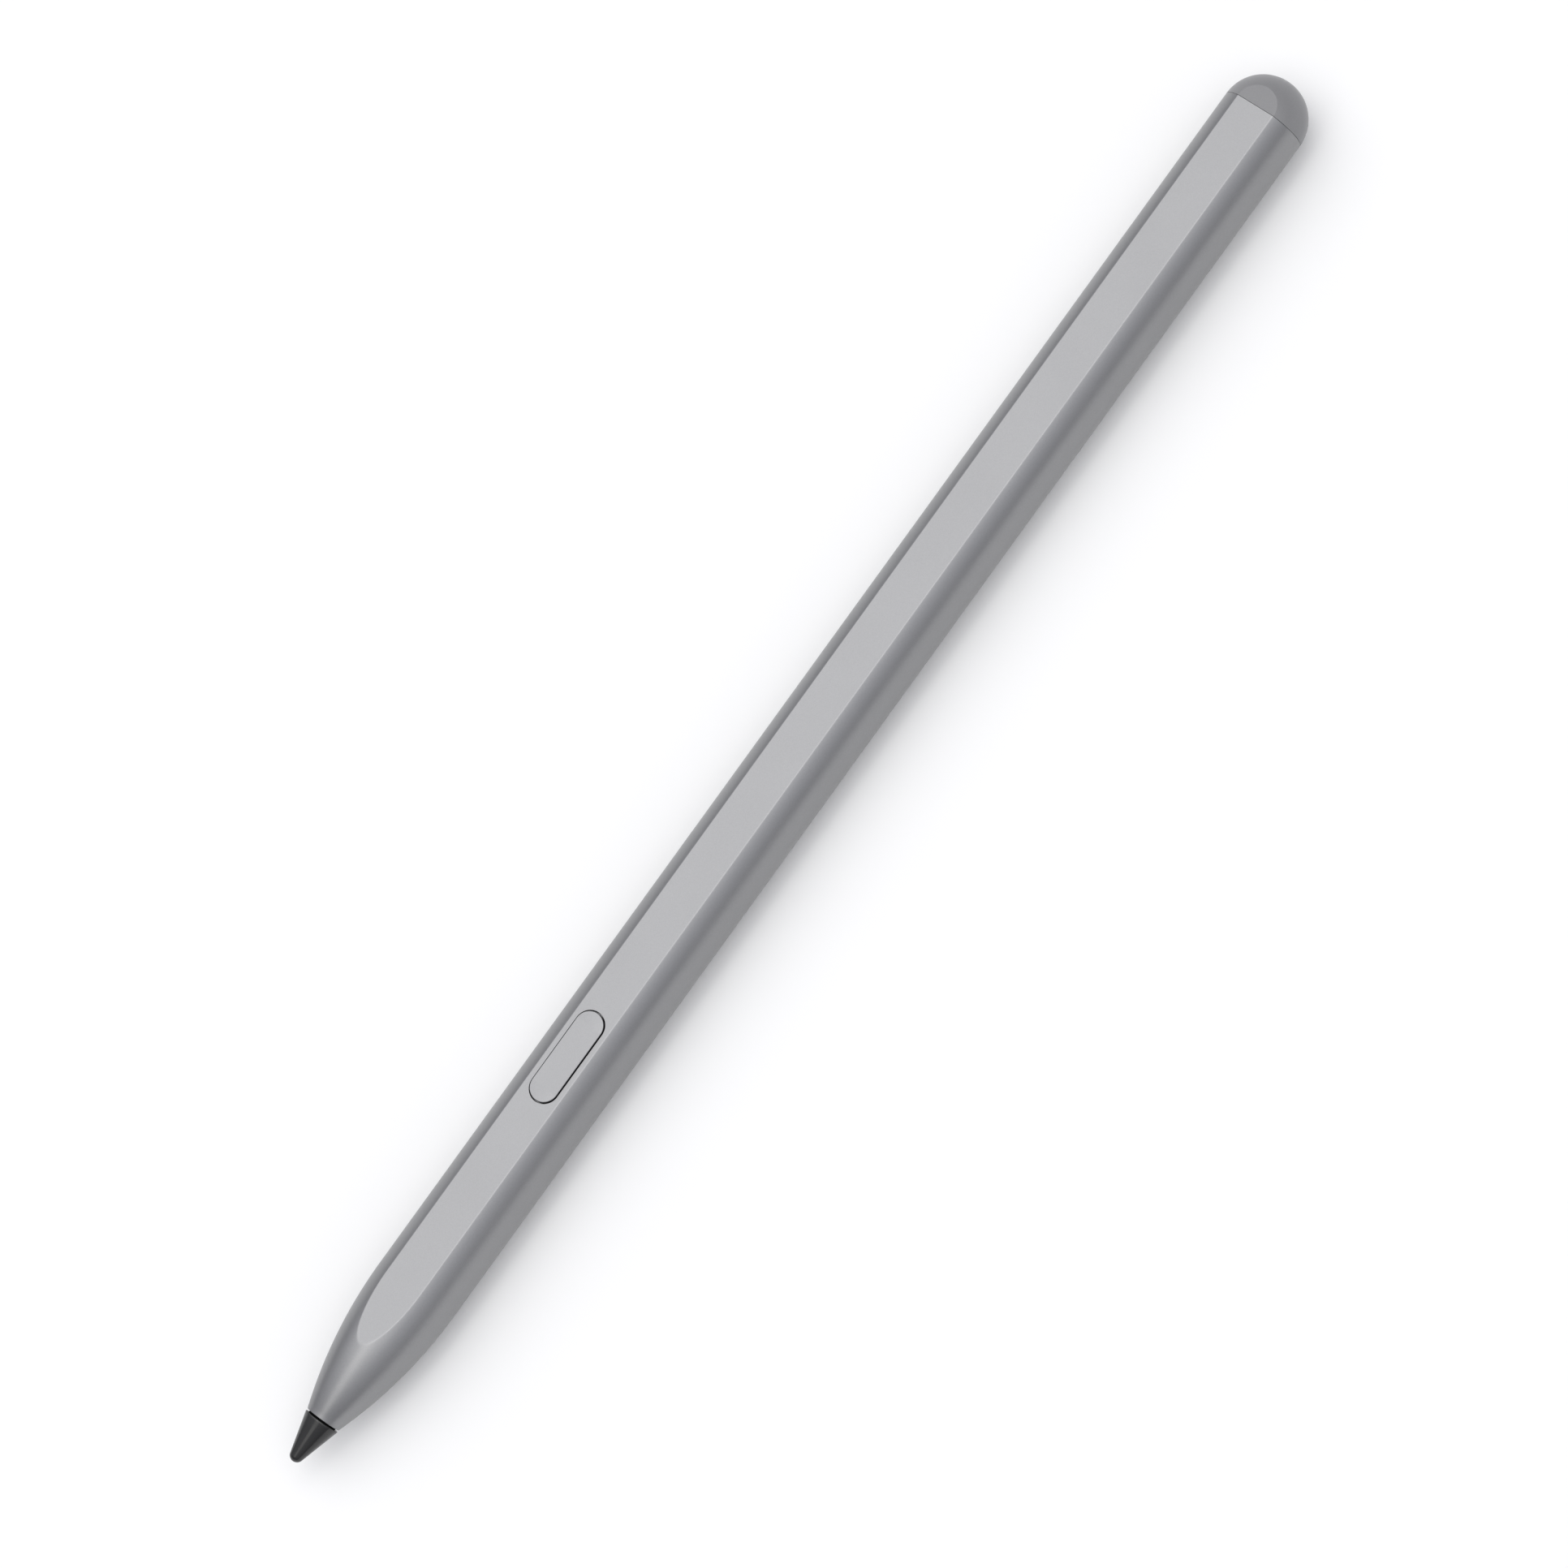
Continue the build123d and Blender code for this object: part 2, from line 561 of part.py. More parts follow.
def power_flex():
    """Flexible strip from under the board to the battery's tabs."""
    start = BOARD_REAR - FLEX_LAP
    end = CELL_FRONT - FLEX_END_GAP
    return block(start, end, POWER_FLEX_WIDTH / 2, BOARD_BOTTOM - FLEX_THICKNESS, BOARD_BOTTOM)


def dock_starts():
    """Front station of each magnet and of the coil, in order along the dock."""
    starts = []
    station = DOCK_FRONT + DOCK_RIB + DOCK_FIT
    for item in DOCK_ITEM_LENGTHS:
        starts.append(station)
        station += item + 2 * DOCK_FIT + DOCK_RIB
    return starts


def dock_depth(item):
    """Thickness of what lies in one pocket of the dock."""
    return COIL_THICKNESS + FERRITE_THICKNESS if item == COIL_LENGTH else MAGNET_THICKNESS


def dock_carrier():
    """Block under the flat with a pocket for each magnet and for the coil on its ferrite."""
    shape = flatted_rod(FRAME_RADIUS, FRAME_FLAT, DOCK_FRONT, DOCK_REAR)
    half_width = DOCK_ITEM_WIDTH / 2 + DOCK_FIT
    for start, item in zip(dock_starts(), DOCK_ITEM_LENGTHS):
        floor = DOCK_TOP - dock_depth(item)
        shape -= block(start - DOCK_FIT, start + item + DOCK_FIT, half_width, floor, FRAME_FLAT + OVERRUN)
    channel_half_width = POWER_FLEX_WIDTH / 2 + FLEX_FIT
    bottom = -FRAME_RADIUS - OVERRUN
    return shape - block(DOCK_FRONT - OVERRUN, DOCK_REAR + OVERRUN, channel_half_width, bottom, BOARD_BOTTOM)


def dock_magnets():
    """Bar magnets on both sides of the coil."""
    bars = []
    half_width = DOCK_ITEM_WIDTH / 2
    bottom = DOCK_TOP - MAGNET_THICKNESS
    for start, item in zip(dock_starts(), DOCK_ITEM_LENGTHS):
        if item == MAGNET_LENGTH:
            bars.append(block(start, start + item, half_width, bottom, DOCK_TOP))
    return Compound(bars)


def coil_middle():
    """Station of the middle of the charging coil."""
    return dock_starts()[DOCK_ITEM_LENGTHS.index(COIL_LENGTH)] + COIL_LENGTH / 2


def charging_coil():
    """Flat racetrack winding under the flat."""
    bottom = DOCK_TOP - COIL_THICKNESS
    outer = pill(coil_middle(), COIL_LENGTH, DOCK_ITEM_WIDTH, bottom, DOCK_TOP)
    inner_length = COIL_LENGTH - 2 * COIL_BAND
    inner_width = DOCK_ITEM_WIDTH - 2 * COIL_BAND
    return outer - pill(coil_middle(), inner_length, inner_width, bottom - OVERRUN, DOCK_TOP + OVERRUN)


def coil_ferrite():
    """Ferrite plate under the charging coil."""
    top = DOCK_TOP - COIL_THICKNESS
    start = coil_middle() - COIL_LENGTH / 2
    return block(start, start + COIL_LENGTH, DOCK_ITEM_WIDTH / 2, top - FERRITE_THICKNESS, top)


def battery_tray():
    """Trough for the battery, with a front wall and a tail block that holds the antenna."""
    shape = flatted_rod(FRAME_RADIUS, FRAME_FLAT, TRAY_FRONT, TRAY_REAR)
    shape -= rod(TRAY_BORE_RADIUS, TRAY_INNER_FRONT, TRAY_INNER_REAR)
    shape -= block(TRAY_INNER_FRONT, TRAY_INNER_REAR, FRAME_RADIUS, TRAY_RISE, FRAME_RADIUS)
    shape -= power_flex_slot(TRAY_FRONT - OVERRUN, TRAY_INNER_FRONT + OVERRUN)
    half_width = ANTENNA_HALF_WIDTH + ANTENNA_FIT
    half_height = ANTENNA_THICKNESS / 2 + ANTENNA_FIT
    return shape - block(ANTENNA_FRONT, TRAY_REAR + OVERRUN, half_width, -half_height, half_height)


def battery_cell():
    """Can of the round rechargeable cell."""
    shape = rod(CELL_RADIUS, CELL_FRONT, CELL_REAR)
    return fillet(shape.edges().filter_by(GeomType.CIRCLE), CELL_EDGE_ROUND)


def cell_header():
    """Insulated pole on the front of the cell."""
    return rod(HEADER_DIAMETER / 2, CELL_FRONT - HEADER_PROUD, CELL_FRONT)


def battery_tab(rear, offset):
    """Bent strip that stands on the power strip and meets a pole at its rear face."""
    front = rear - TAB_THICKNESS
    half_width = TAB_WIDTH / 2
    foot_top = BOARD_BOTTOM + TAB_THICKNESS
    upright = block(front, rear, half_width, BOARD_BOTTOM, BOARD_BOTTOM + TAB_RISE, offset)
    return upright + block(front - TAB_FOOT, rear, half_width, BOARD_BOTTOM, foot_top, offset)


def battery_tabs():
    """Strip of the insulated pole and strip of the can."""
    pole = battery_tab(CELL_FRONT - HEADER_PROUD, TAB_OFFSET)
    can = battery_tab(CELL_FRONT, TAB_OFFSET - TAB_PITCH)
    return Compound([pole, can])


def end_pad():
    """Soft ring between the tray and the cap's spigot."""
    shape = flatted_rod(FRAME_RADIUS, FRAME_FLAT, TRAY_REAR, SPIGOT_FRONT)
    return shape - rod(CAP_HOLLOW_RADIUS, TRAY_REAR, SPIGOT_FRONT)


def antenna_board():
    """Small board that reaches from the tray into the cap."""
    half_height = ANTENNA_THICKNESS / 2
    return block(ANTENNA_FRONT, ANTENNA_REAR, ANTENNA_HALF_WIDTH, -half_height, half_height)


def antenna_chip():
    """Ceramic antenna on the small board."""
    end = ANTENNA_REAR - ANTENNA_CHIP_INSET
    bottom = ANTENNA_THICKNESS / 2
    start = end - ANTENNA_CHIP_LENGTH
    half_width = ANTENNA_HALF_WIDTH - ANTENNA_CHIP_MARGIN
    return block(start, end, half_width, bottom, bottom + ANTENNA_CHIP_HEIGHT)


PIECES = {
    "barrel": barrel(),
    "end_cap": end_cap(),
    "nib": nib(),
    "nib_holder": nib_holder(),
    "force_plate": force_plate(),
    "return_spring": return_spring(),
    "force_sensor": force_sensor(),
    "guide_bush": guide_bush(),
    "tilt_electrode": tilt_electrode(),
    "side_button": side_button(),
    "button_switch": button_switch(),
    "switch_plunger": switch_plunger(),
    "front_frame": front_frame(),
    "main_board": main_board(),
    "processor_chip": on_board(PROCESSOR_SHARE, PROCESSOR_SIDE, PROCESSOR_SIDE, PROCESSOR_HEIGHT),
    "radio_chip": on_board(RADIO_SHARE, RADIO_SIDE, RADIO_SIDE, RADIO_HEIGHT),
    "crystal_can": on_board(CRYSTAL_SHARE, CRYSTAL_LENGTH, CRYSTAL_WIDTH, CRYSTAL_HEIGHT),
    "board_capacitors": board_capacitors(),
    "board_screws": board_screws(),
    "sensor_flex": sensor_flex(),
    "power_flex": power_flex(),
    "dock_carrier": dock_carrier(),
    "dock_magnets": dock_magnets(),
    "charging_coil": charging_coil(),
    "coil_ferrite": coil_ferrite(),
    "battery_tray": battery_tray(),
    "battery_cell": battery_cell(),
    "cell_header": cell_header(),
    "battery_tabs": battery_tabs(),
    "end_pad": end_pad(),
    "antenna_board": antenna_board(),
    "antenna_chip": antenna_chip(),
}

# The pen lies on the round of its barrel, with its middle at the origin
REST = Pos(-LENGTH / 2, 0, BARREL_RADIUS)

os.makedirs("parts", exist_ok=True)
for name, piece in PIECES.items():
    export_step(REST * piece, f"parts/{name}.step")
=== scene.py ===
"""Looks of a stylus pen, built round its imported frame. Lengths are in metres.

The pen lies along X with its nib at the low end. Its flat faces up, and its back rests on Z = 0.
"""

import json
import logging
import math
from collections.abc import Iterable, Mapping, Sequence
from dataclasses import dataclass
from enum import Enum
from functools import cache
from typing import ClassVar, NamedTuple

import bmesh
import bpy
from bpy.types import ID, Material, Mesh, Node, NodeSocket, NodeTree, Object
from mathutils import Matrix, Vector


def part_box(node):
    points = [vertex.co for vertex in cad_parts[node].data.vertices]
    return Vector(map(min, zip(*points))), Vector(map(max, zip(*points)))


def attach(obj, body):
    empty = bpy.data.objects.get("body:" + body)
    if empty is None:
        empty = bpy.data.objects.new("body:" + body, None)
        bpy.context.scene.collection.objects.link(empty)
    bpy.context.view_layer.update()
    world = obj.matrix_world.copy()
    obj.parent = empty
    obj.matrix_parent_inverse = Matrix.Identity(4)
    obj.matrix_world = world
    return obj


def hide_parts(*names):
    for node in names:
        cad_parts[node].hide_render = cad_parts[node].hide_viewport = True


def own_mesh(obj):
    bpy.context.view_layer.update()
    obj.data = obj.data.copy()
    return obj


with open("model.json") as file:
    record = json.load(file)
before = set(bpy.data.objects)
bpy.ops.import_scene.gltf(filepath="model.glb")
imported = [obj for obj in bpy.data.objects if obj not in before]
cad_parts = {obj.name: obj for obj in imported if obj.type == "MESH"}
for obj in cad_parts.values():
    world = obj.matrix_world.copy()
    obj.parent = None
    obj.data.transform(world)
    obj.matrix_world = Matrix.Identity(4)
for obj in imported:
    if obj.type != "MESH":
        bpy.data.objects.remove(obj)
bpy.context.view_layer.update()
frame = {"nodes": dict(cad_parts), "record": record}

log = logging.getLogger("stylus_pen")

MM = 0.001
MICRON = 0.000001
WELD = 0.1 * MICRON
SHARP_ANGLE = math.radians(32.0)
FLAT_ATTRIBUTE = "flat"
EDGE_ATTRIBUTE = "edge"
NO_FLAT = 1.0
NO_FLAT_SHARE = 0.0000001
LEAST_COSINE = 0.05

Colour = tuple[float, float, float]
Point = tuple[float, float]


class Body(Enum):
    """Bodies of the frame that modelled pieces ride on."""

    HOUSING = "housing"
    BUTTON = "button"
    NIB = "nib"


class Merge(Enum):
    """Ways to put two meshes together."""

    CARVE = "DIFFERENCE"
    JOIN = "UNION"


class Socket(Enum):
    """Kinds of value that go in and out of a node group."""

    VALUE = "NodeSocketFloat"
    COUNT = "NodeSocketInt"
    VECTOR = "NodeSocketVector"
    COLOUR = "NodeSocketColor"
    SHAPE = "NodeSocketGeometry"
    OBJECT = "NodeSocketObject"
    MATERIAL = "NodeSocketMaterial"


class Grain(Enum):
    """Kinds of fine surface texture."""

    FLAKE = "flake"
    MOULDED = "moulded"
    DRAWN = "drawn"
    TURNED = "turned"

    @property
    def packing(self) -> tuple[float, float, float]:
        """How closely the texture is packed along X, Y and Z: in streaks, in rings or evenly."""
        streaks, rings, even = (0.04, 1.0, 1.0), (1.0, 0.05, 0.05), (1.0, 1.0, 1.0)
        return {Grain.DRAWN: streaks, Grain.TURNED: rings}.get(self, even)


# Node trees


@dataclass(frozen=True)
class Field:
    """A value that runs through a node tree. Sums on it add math nodes."""

    graph: "Graph"
    socket: NodeSocket

    def math(self, operation: str, *others: "Feed") -> "Field":
        """Applies a math node's operation, with others as its further operands."""
        return self.graph.add("ShaderNodeMath", self, *others, operation=operation)

    def __add__(self, other: "Feed") -> "Field":
        """Adds."""
        return self.math("ADD", other)

    def __sub__(self, other: "Feed") -> "Field":
        """Subtracts."""
        return self.math("SUBTRACT", other)

    def __rsub__(self, other: "Feed") -> "Field":
        """Subtracts this value from a plain number."""
        return self.graph.add("ShaderNodeMath", other, self, operation="SUBTRACT")

    def __mul__(self, other: "Feed") -> "Field":
        """Multiplies."""
        return self.math("MULTIPLY", other)

    def __truediv__(self, other: "Feed") -> "Field":
        """Divides."""
        return self.math("DIVIDE", other)

    def __rtruediv__(self, other: "Feed") -> "Field":
        """Divides a plain number by this value."""
        return self.graph.add("ShaderNodeMath", other, self, operation="DIVIDE")

    def __pow__(self, other: "Feed") -> "Field":
        """Raises to a power."""
        return self.math("POWER", other)


Feed = Field | float | int | bool | str | tuple | ID | None


class Graph:
    """A node tree under construction. Each call adds one node."""

    def __init__(self, tree: NodeTree) -> None:
        """Takes over a tree and empties it."""
        self.tree = tree
        tree.nodes.clear()

    def feed(self, socket: NodeSocket, feed: Feed) -> None:
        """Fills an input.

        Args:
            socket: The input.
            feed: A field to link to it, a plain value to set on it, or None to leave it alone.
        """
        if isinstance(feed, Field):
            self.tree.links.new(feed.socket, socket)
        elif feed is not None:
            socket.default_value = (*feed, 1.0) if socket.type == "RGBA" else feed

    def node(self, kind: str, feeds: Mapping[str, Feed], **settings: object) -> Node:
        """Adds a node.

        Args:
            kind: Blender's name of the node type.
            feeds: What goes into its inputs, by their names.
            **settings: Properties of the node.

        Returns:
            The node.
        """
        node = self.tree.nodes.new(kind)
        for name, value in settings.items():
            setattr(node, name, value)
        for name, feed in feeds.items():
            self.feed(node.inputs[name], feed)
        return node

    def add(self, kind: str, *feeds: Feed, out: str | None = None, **settings: object) -> Field:
        """Adds a node and hands back one of its outputs.

        Args:
            kind: Blender's name of the node type.
            *feeds: What goes into its inputs, in their order.
            out: Name of the output to hand back. None stands for the first.
            **settings: Properties of the node.

        Returns:
            The output as a field.
        """
        node = self.node(kind, {}, **settings)
        for socket, feed in zip([socket for socket in node.inputs if socket.enabled], feeds):
            self.feed(socket, feed)
        shown = [socket for socket in node.outputs if socket.enabled]
        return Field(self, next(socket for socket in shown if out in (None, socket.name)))

    def vector(self, x: Feed, y: Feed, z: Feed) -> Field:
        """Joins three values into a vector."""
        return self.add("ShaderNodeCombineXYZ", x, y, z)

    def parts(self, vector: Field) -> tuple[Field, ...]:
        """Splits a vector into its three values."""
        node = self.node("ShaderNodeSeparateXYZ", {"Vector": vector})
        return tuple(Field(self, socket) for socket in node.outputs)

    def scaled(self, vector: Feed, factor: Feed) -> Field:
        """Multiplies a vector or a colour by a value."""
        return self.add("ShaderNodeVectorMath", vector, factor, operation="SCALE")

    def noise(
        self, place: Field, detail: float, roughness: float = 0.5, warp: float = 0.0
    ) -> Field:
        """Adds a noise texture whose blotches are about one unit wide."""
        return self.add("ShaderNodeTexNoise", place, 1.0, detail, roughness, None, warp)

    def group(self, tree: NodeTree, feeds: Mapping[str, Feed]) -> dict[str, Field]:
        """Places a shader node group and hands back its outputs by name."""
        node = self.node("ShaderNodeGroup", feeds, node_tree=tree)
        return {socket.name: Field(self, socket) for socket in node.outputs}


class GroupGraph(Graph):
    """A shader group, with named inputs and outputs of its own."""

    kind: ClassVar[str] = "ShaderNodeTree"

    def __init__(self, name: str) -> None:
        """Makes a new tree with its inlet and outlet.

        Args:
            name: Name of the tree.
        """
        super().__init__(bpy.data.node_groups.new(name, self.kind))
        self.inlet = self.tree.nodes.new("NodeGroupInput")
        self.outlet = self.tree.nodes.new("NodeGroupOutput")

    def take(self, name: str, kind: Socket = Socket.VALUE) -> Field:
        """Adds a named input and hands it back."""
        self.tree.interface.new_socket(name, in_out="INPUT", socket_type=kind.value)
        return Field(self, self.inlet.outputs[name])

    def take_values(self, *names: str) -> tuple[Field, ...]:
        """Adds a named input for each of several values."""
        return tuple(self.take(name) for name in names)

    def give(self, name: str, output: Field, kind: Socket = Socket.VALUE) -> None:
        """Adds a named output and feeds it."""
        self.tree.interface.new_socket(name, in_out="OUTPUT", socket_type=kind.value)
        self.feed(self.outlet.inputs[name], output)


# Geometry trees


class ShapeGraph(GroupGraph):
    """A geometry tree."""

    kind: ClassVar[str] = "GeometryNodeTree"

    def pill_place(
        self, angle: Field, reach: Field, straight: Field, station: Field, height: Feed
    ) -> Field:
        """Finds a point on a pill-shaped outline.

        Args:
            angle: The way round the outline, as an angle.
            reach: Radius of its round ends.
            straight: Half the length of its straight sides.
            station: Place of its middle along X.
            height: Its height.

        Returns:
            The point.
        """
        cosine = angle.math("COSINE")
        x = station + cosine.math("SIGN") * straight + reach * cosine
        return self.vector(x, reach * angle.math("SINE"), height)

    def wire(self, count: Field, place: Field) -> Field:
        """Runs a round wire through a row of places, with inputs for its sides and radius.

        Args:
            count: How many places there are.
            place: Each place, by its index.

        Returns:
            The wire, closed at both ends.
        """
        row = self.add("GeometryNodeMeshLine", count)
        bent = self.add("GeometryNodeSetPosition", row, True, place)
        path = self.add("GeometryNodeMeshToCurve", bent)
        sides = self.take("Wire Sides", Socket.COUNT)
        section = self.add("GeometryNodeCurvePrimitiveCircle", sides, self.take("Wire Radius"))
        return self.add("GeometryNodeCurveToMesh", path, section, 1.0, True)

    def give_mesh(self, geometry: Field) -> NodeTree:
        """Ends the tree: realizes instances, shades smooth and sets the material.

        Args:
            geometry: The shape that the tree has made.

        Returns:
            The finished tree.
        """
        smooth = self.add("GeometryNodeSetShadeSmooth", geometry, True, True)
        real = self.add("GeometryNodeRealizeInstances", smooth)
        material = self.take("Material", Socket.MATERIAL)
        self.give("Mesh", self.add("GeometryNodeSetMaterial", real, True, material), Socket.SHAPE)
        return self.tree


class RowGraph(ShapeGraph):
    """A geometry tree that bends a grid, with a row of vertices for each vertex of a profile."""

    def __init__(self, name: str) -> None:
        """Makes a new tree and finds where in the grid each vertex stands.

        Args:
            name: Name of the tree.
        """
        super().__init__(name)
        self.profile = self.take("Profile", Socket.SHAPE)
        self.columns = self.take("Columns", Socket.COUNT)
        index = self.add("GeometryNodeInputIndex")
        per_row = self.columns + 1
        self.row = ((index + 0.5) / per_row).math("FLOOR")
        self.along = (index - self.row * per_row) / self.columns

    def sampled(self, value: Field, kind: str) -> Field:
        """Reads a value at the profile's vertex that a row stands for."""
        return self.add("GeometryNodeSampleIndex", self.profile, value, self.row, data_type=kind)

    def profile_point(self) -> tuple[Field, Field]:
        """Reads the X and Z of the profile's vertex that a row stands for."""
        x, _, z = self.parts(self.sampled(self.add("GeometryNodeInputPosition"), "FLOAT_VECTOR"))
        return x, z

    def grid(self) -> Field:
        """Makes the grid, which is flat at first."""
        rows = self.add("GeometryNodeAttributeDomainSize", self.profile)
        return self.add("GeometryNodeMeshGrid", 1.0, 1.0, rows, self.columns + 1)

    def give_bent(self, grid: Field, place: Field) -> NodeTree:
        """Ends the tree: moves the grid's vertices to their places and welds seams and poles."""
        moved = self.add("GeometryNodeSetPosition", grid, True, place)
        return self.give_mesh(self.add("GeometryNodeMergeByDistance", moved, True, WELD))


@cache
def turned_shell() -> NodeTree:
    """Makes the tree that turns a profile about the pen's axis and planes a flat along its top.

    The profile's vertices hold the station in X, the radius in Z and the height of the flat in an
    attribute. Columns follow the edges of the flat, so that it ends crisply where it runs out on
    the nose. An attribute of the result is 1 along those edges.

    Returns:
        The tree.
    """
    graph = RowGraph("turned shell")
    share, crowding = graph.take_values("Flat Share", "Crowding")
    edge_round, edge_width, axis = graph.take_values("Edge Round", "Edge Width", "Axis Height")
    station, radius = graph.profile_point()
    height = graph.add("GeometryNodeInputNamedAttribute", FLAT_ATTRIBUTE, data_type="FLOAT")
    flat = graph.sampled(height, "FLOAT")

    turn = graph.along * 2.0 - 1.0
    reach = turn.math("ABSOLUTE")
    edge = (flat / radius.math("MAXIMUM", MICRON)).math("MINIMUM", 1.0).math("ARCCOSINE")
    on_flat = (reach / share).math("MINIMUM", 1.0)
    off_flat = (reach - share).math("MAXIMUM", 0.0) / (1.0 - share)
    inner = edge * (1.0 - (1.0 - on_flat) ** crowding)
    outer = (math.pi - edge) * off_flat**crowding
    angle = (inner + outer) * turn.math("SIGN")
    sine, cosine = angle.math("SINE"), angle.math("COSINE")
    planed = flat / cosine.math("MAXIMUM", LEAST_COSINE)
    distance = radius.math("SMOOTH_MIN", planed, edge_round)
    place = graph.vector(station, distance * sine, distance * cosine + axis)

    # Marks the flat's edges; finishes lighten the tone there, partly as edge wear and partly as a
    # painted highlight.
    near_edge = (1.0 - (planed - radius).math("ABSOLUTE") / edge_width).math("MAXIMUM", 0.0)
    marking = (graph.grid(), True, EDGE_ATTRIBUTE, near_edge)
    return graph.give_bent(graph.add("GeometryNodeStoreNamedAttribute", *marking), place)


@cache
def pill_loft() -> NodeTree:
    """Makes the tree that lofts pill-shaped outlines over each other.

    The profile's vertices hold the growth of the outline in X and its height in Z, from the
    middle of the top to the middle of the bottom.

    Returns:
        The tree.
    """
    graph = RowGraph("pill loft")
    straight, half_width, station = graph.take_values("Half Straight", "Half Width", "Station")
    growth, height = graph.profile_point()
    place = graph.pill_place(graph.along * math.tau, half_width + growth, straight, station, height)
    return graph.give_bent(graph.grid(), place)


@cache
def coil_spring() -> NodeTree:
    """Makes the tree of a compression spring along the pen's axis, with its end turns drawn closer.

    Returns:
        The tree.
    """
    graph = ShapeGraph("coil spring")
    turns, per_turn, coil_radius = graph.take_values("Turns", "Steps", "Coil Radius")
    start, length, closing, axis = graph.take_values("Start", "Length", "Closing", "Axis Height")

    count = turns * per_turn + 1
    share = graph.add("GeometryNodeInputIndex") / (count - 1)
    angle = share * turns * math.tau
    advance = share - (share * math.tau).math("SINE") * closing / math.tau
    across, up = coil_radius * angle.math("SINE"), coil_radius * angle.math("COSINE")
    place = graph.vector(start + length * advance, across, up + axis)
    return graph.give_mesh(graph.wire(count, place))


@cache
def flat_winding() -> NodeTree:
    """Makes the tree of a flat racetrack coil, wound as a spiral in several layers.

    Returns:
        The tree.
    """
    graph = ShapeGraph("flat winding")
    layers = graph.take("Layers", Socket.COUNT)
    turns, per_turn, pitch = graph.take_values("Turns", "Steps", "Pitch")
    inner, straight = graph.take_values("Inner Radius", "Half Straight")
    station, base, rise = graph.take_values("Station", "Base Height", "Layer Rise")

    count = turns * per_turn + 1
    turned = graph.add("GeometryNodeInputIndex") / per_turn
    angle = turned * math.tau + math.pi / per_turn
    place = graph.pill_place(angle, inner + pitch * turned, straight, station, base)
    layer = graph.wire(count, place)
    stack = graph.add("GeometryNodeMeshLine", layers, None, graph.vector(0.0, 0.0, rise))
    return graph.give_mesh(graph.add("GeometryNodeInstanceOnPoints", stack, True, layer))


@cache
def scattered() -> NodeTree:
    """Makes the tree that sets a copy of one small piece at each vertex of a mesh.

    Returns:
        The tree.
    """
    graph = ShapeGraph("scattered pieces")
    points = graph.take("Points", Socket.SHAPE)
    piece = graph.take("Piece", Socket.OBJECT)
    shape = graph.add("GeometryNodeObjectInfo", piece, out="Geometry")
    return graph.give_mesh(graph.add("GeometryNodeInstanceOnPoints", points, True, shape))


# Meshes


class Row(NamedTuple):
    """One ring of a turned piece: its place along X, its radius and the height of its flat."""

    station: float
    radius: float
    flat: float = NO_FLAT


def rings(points: Iterable[Point], flat: float = NO_FLAT) -> list[Row]:
    """Makes rings of stations and radii that share the height of their flat."""
    return [Row(station, radius, flat) for station, radius in points]


def steps(start: float, end: float, count: int, power: float = 1.0) -> list[float]:
    """Divides a stretch, with its places crowded at the start where power is above 1."""
    return [start + (end - start) * (i / count) ** power for i in range(count + 1)]


def quarter(count: int) -> list[float]:
    """Divides a quarter turn into equal steps."""
    return steps(0.0, math.pi / 2, count)


def arc(centre: Point, reach: Point, turns: Iterable[float]) -> list[Point]:
    """Follows an ellipse from its top, at a turn of 0, to its side at a quarter turn."""
    (x, z), (along, up) = centre, reach
    return [(x + along * math.sin(turn), z + up * math.cos(turn)) for turn in turns]


def linked(name: str, data: ID) -> Object:
    """Makes an object at the origin and links it into the scene.

    Args:
        name: Its name.
        data: What it holds.

    Returns:
        The object.
    """
    made = bpy.data.objects.new(name, data)
    bpy.context.scene.collection.objects.link(made)
    return made


def chain(points: Sequence[Point], flats: Sequence[float] = ()) -> Mesh:
    """Makes a profile mesh for a tree.

    Args:
        points: X and Z of each vertex.
        flats: Height of the flat at each vertex, for a turned piece.

    Returns:
        The mesh, a chain of edges.
    """
    mesh = bpy.data.meshes.new("profile")
    edges = [(i, i + 1) for i in range(len(points) - 1)]
    mesh.from_pydata([(x, 0.0, z) for x, z in points], edges, [])
    if flats:
        mesh.attributes.new(FLAT_ATTRIBUTE, "FLOAT", "POINT").data.foreach_set("value", flats)
    return mesh


def finished(form: bmesh.types.BMesh, name: str) -> Mesh:
    """Turns an edit mesh into a plain mesh.

    Args:
        form: The edit mesh, which is used up.
        name: Name of the mesh.

    Returns:
        The mesh.
    """
    mesh = bpy.data.meshes.new(name)
    form.to_mesh(mesh)
    form.free()
    return mesh


def modified(
    mesh: Mesh, kind: str, inputs: Sequence[tuple[str, object]] = (), **settings: object
) -> Mesh:
    """Runs one modifier on a mesh.

    Args:
        mesh: The mesh that is worked on.
        kind: Blender's name of the modifier type.
        inputs: Identifiers and values of a geometry tree's inputs.
        **settings: Properties of the modifier.

    Returns:
        The new mesh.
    """
    carrier = linked("work", mesh)
    modifier = carrier.modifiers.new("work", kind)
    for name, value in settings.items():
        setattr(modifier, name, value)
    for identifier, value in inputs:
        modifier[identifier] = value
    depsgraph = bpy.context.evaluated_depsgraph_get()
    result = bpy.data.meshes.new_from_object(
        carrier.evaluated_get(depsgraph), preserve_all_data_layers=True, depsgraph=depsgraph
    )
    bpy.data.objects.remove(carrier)
    return result


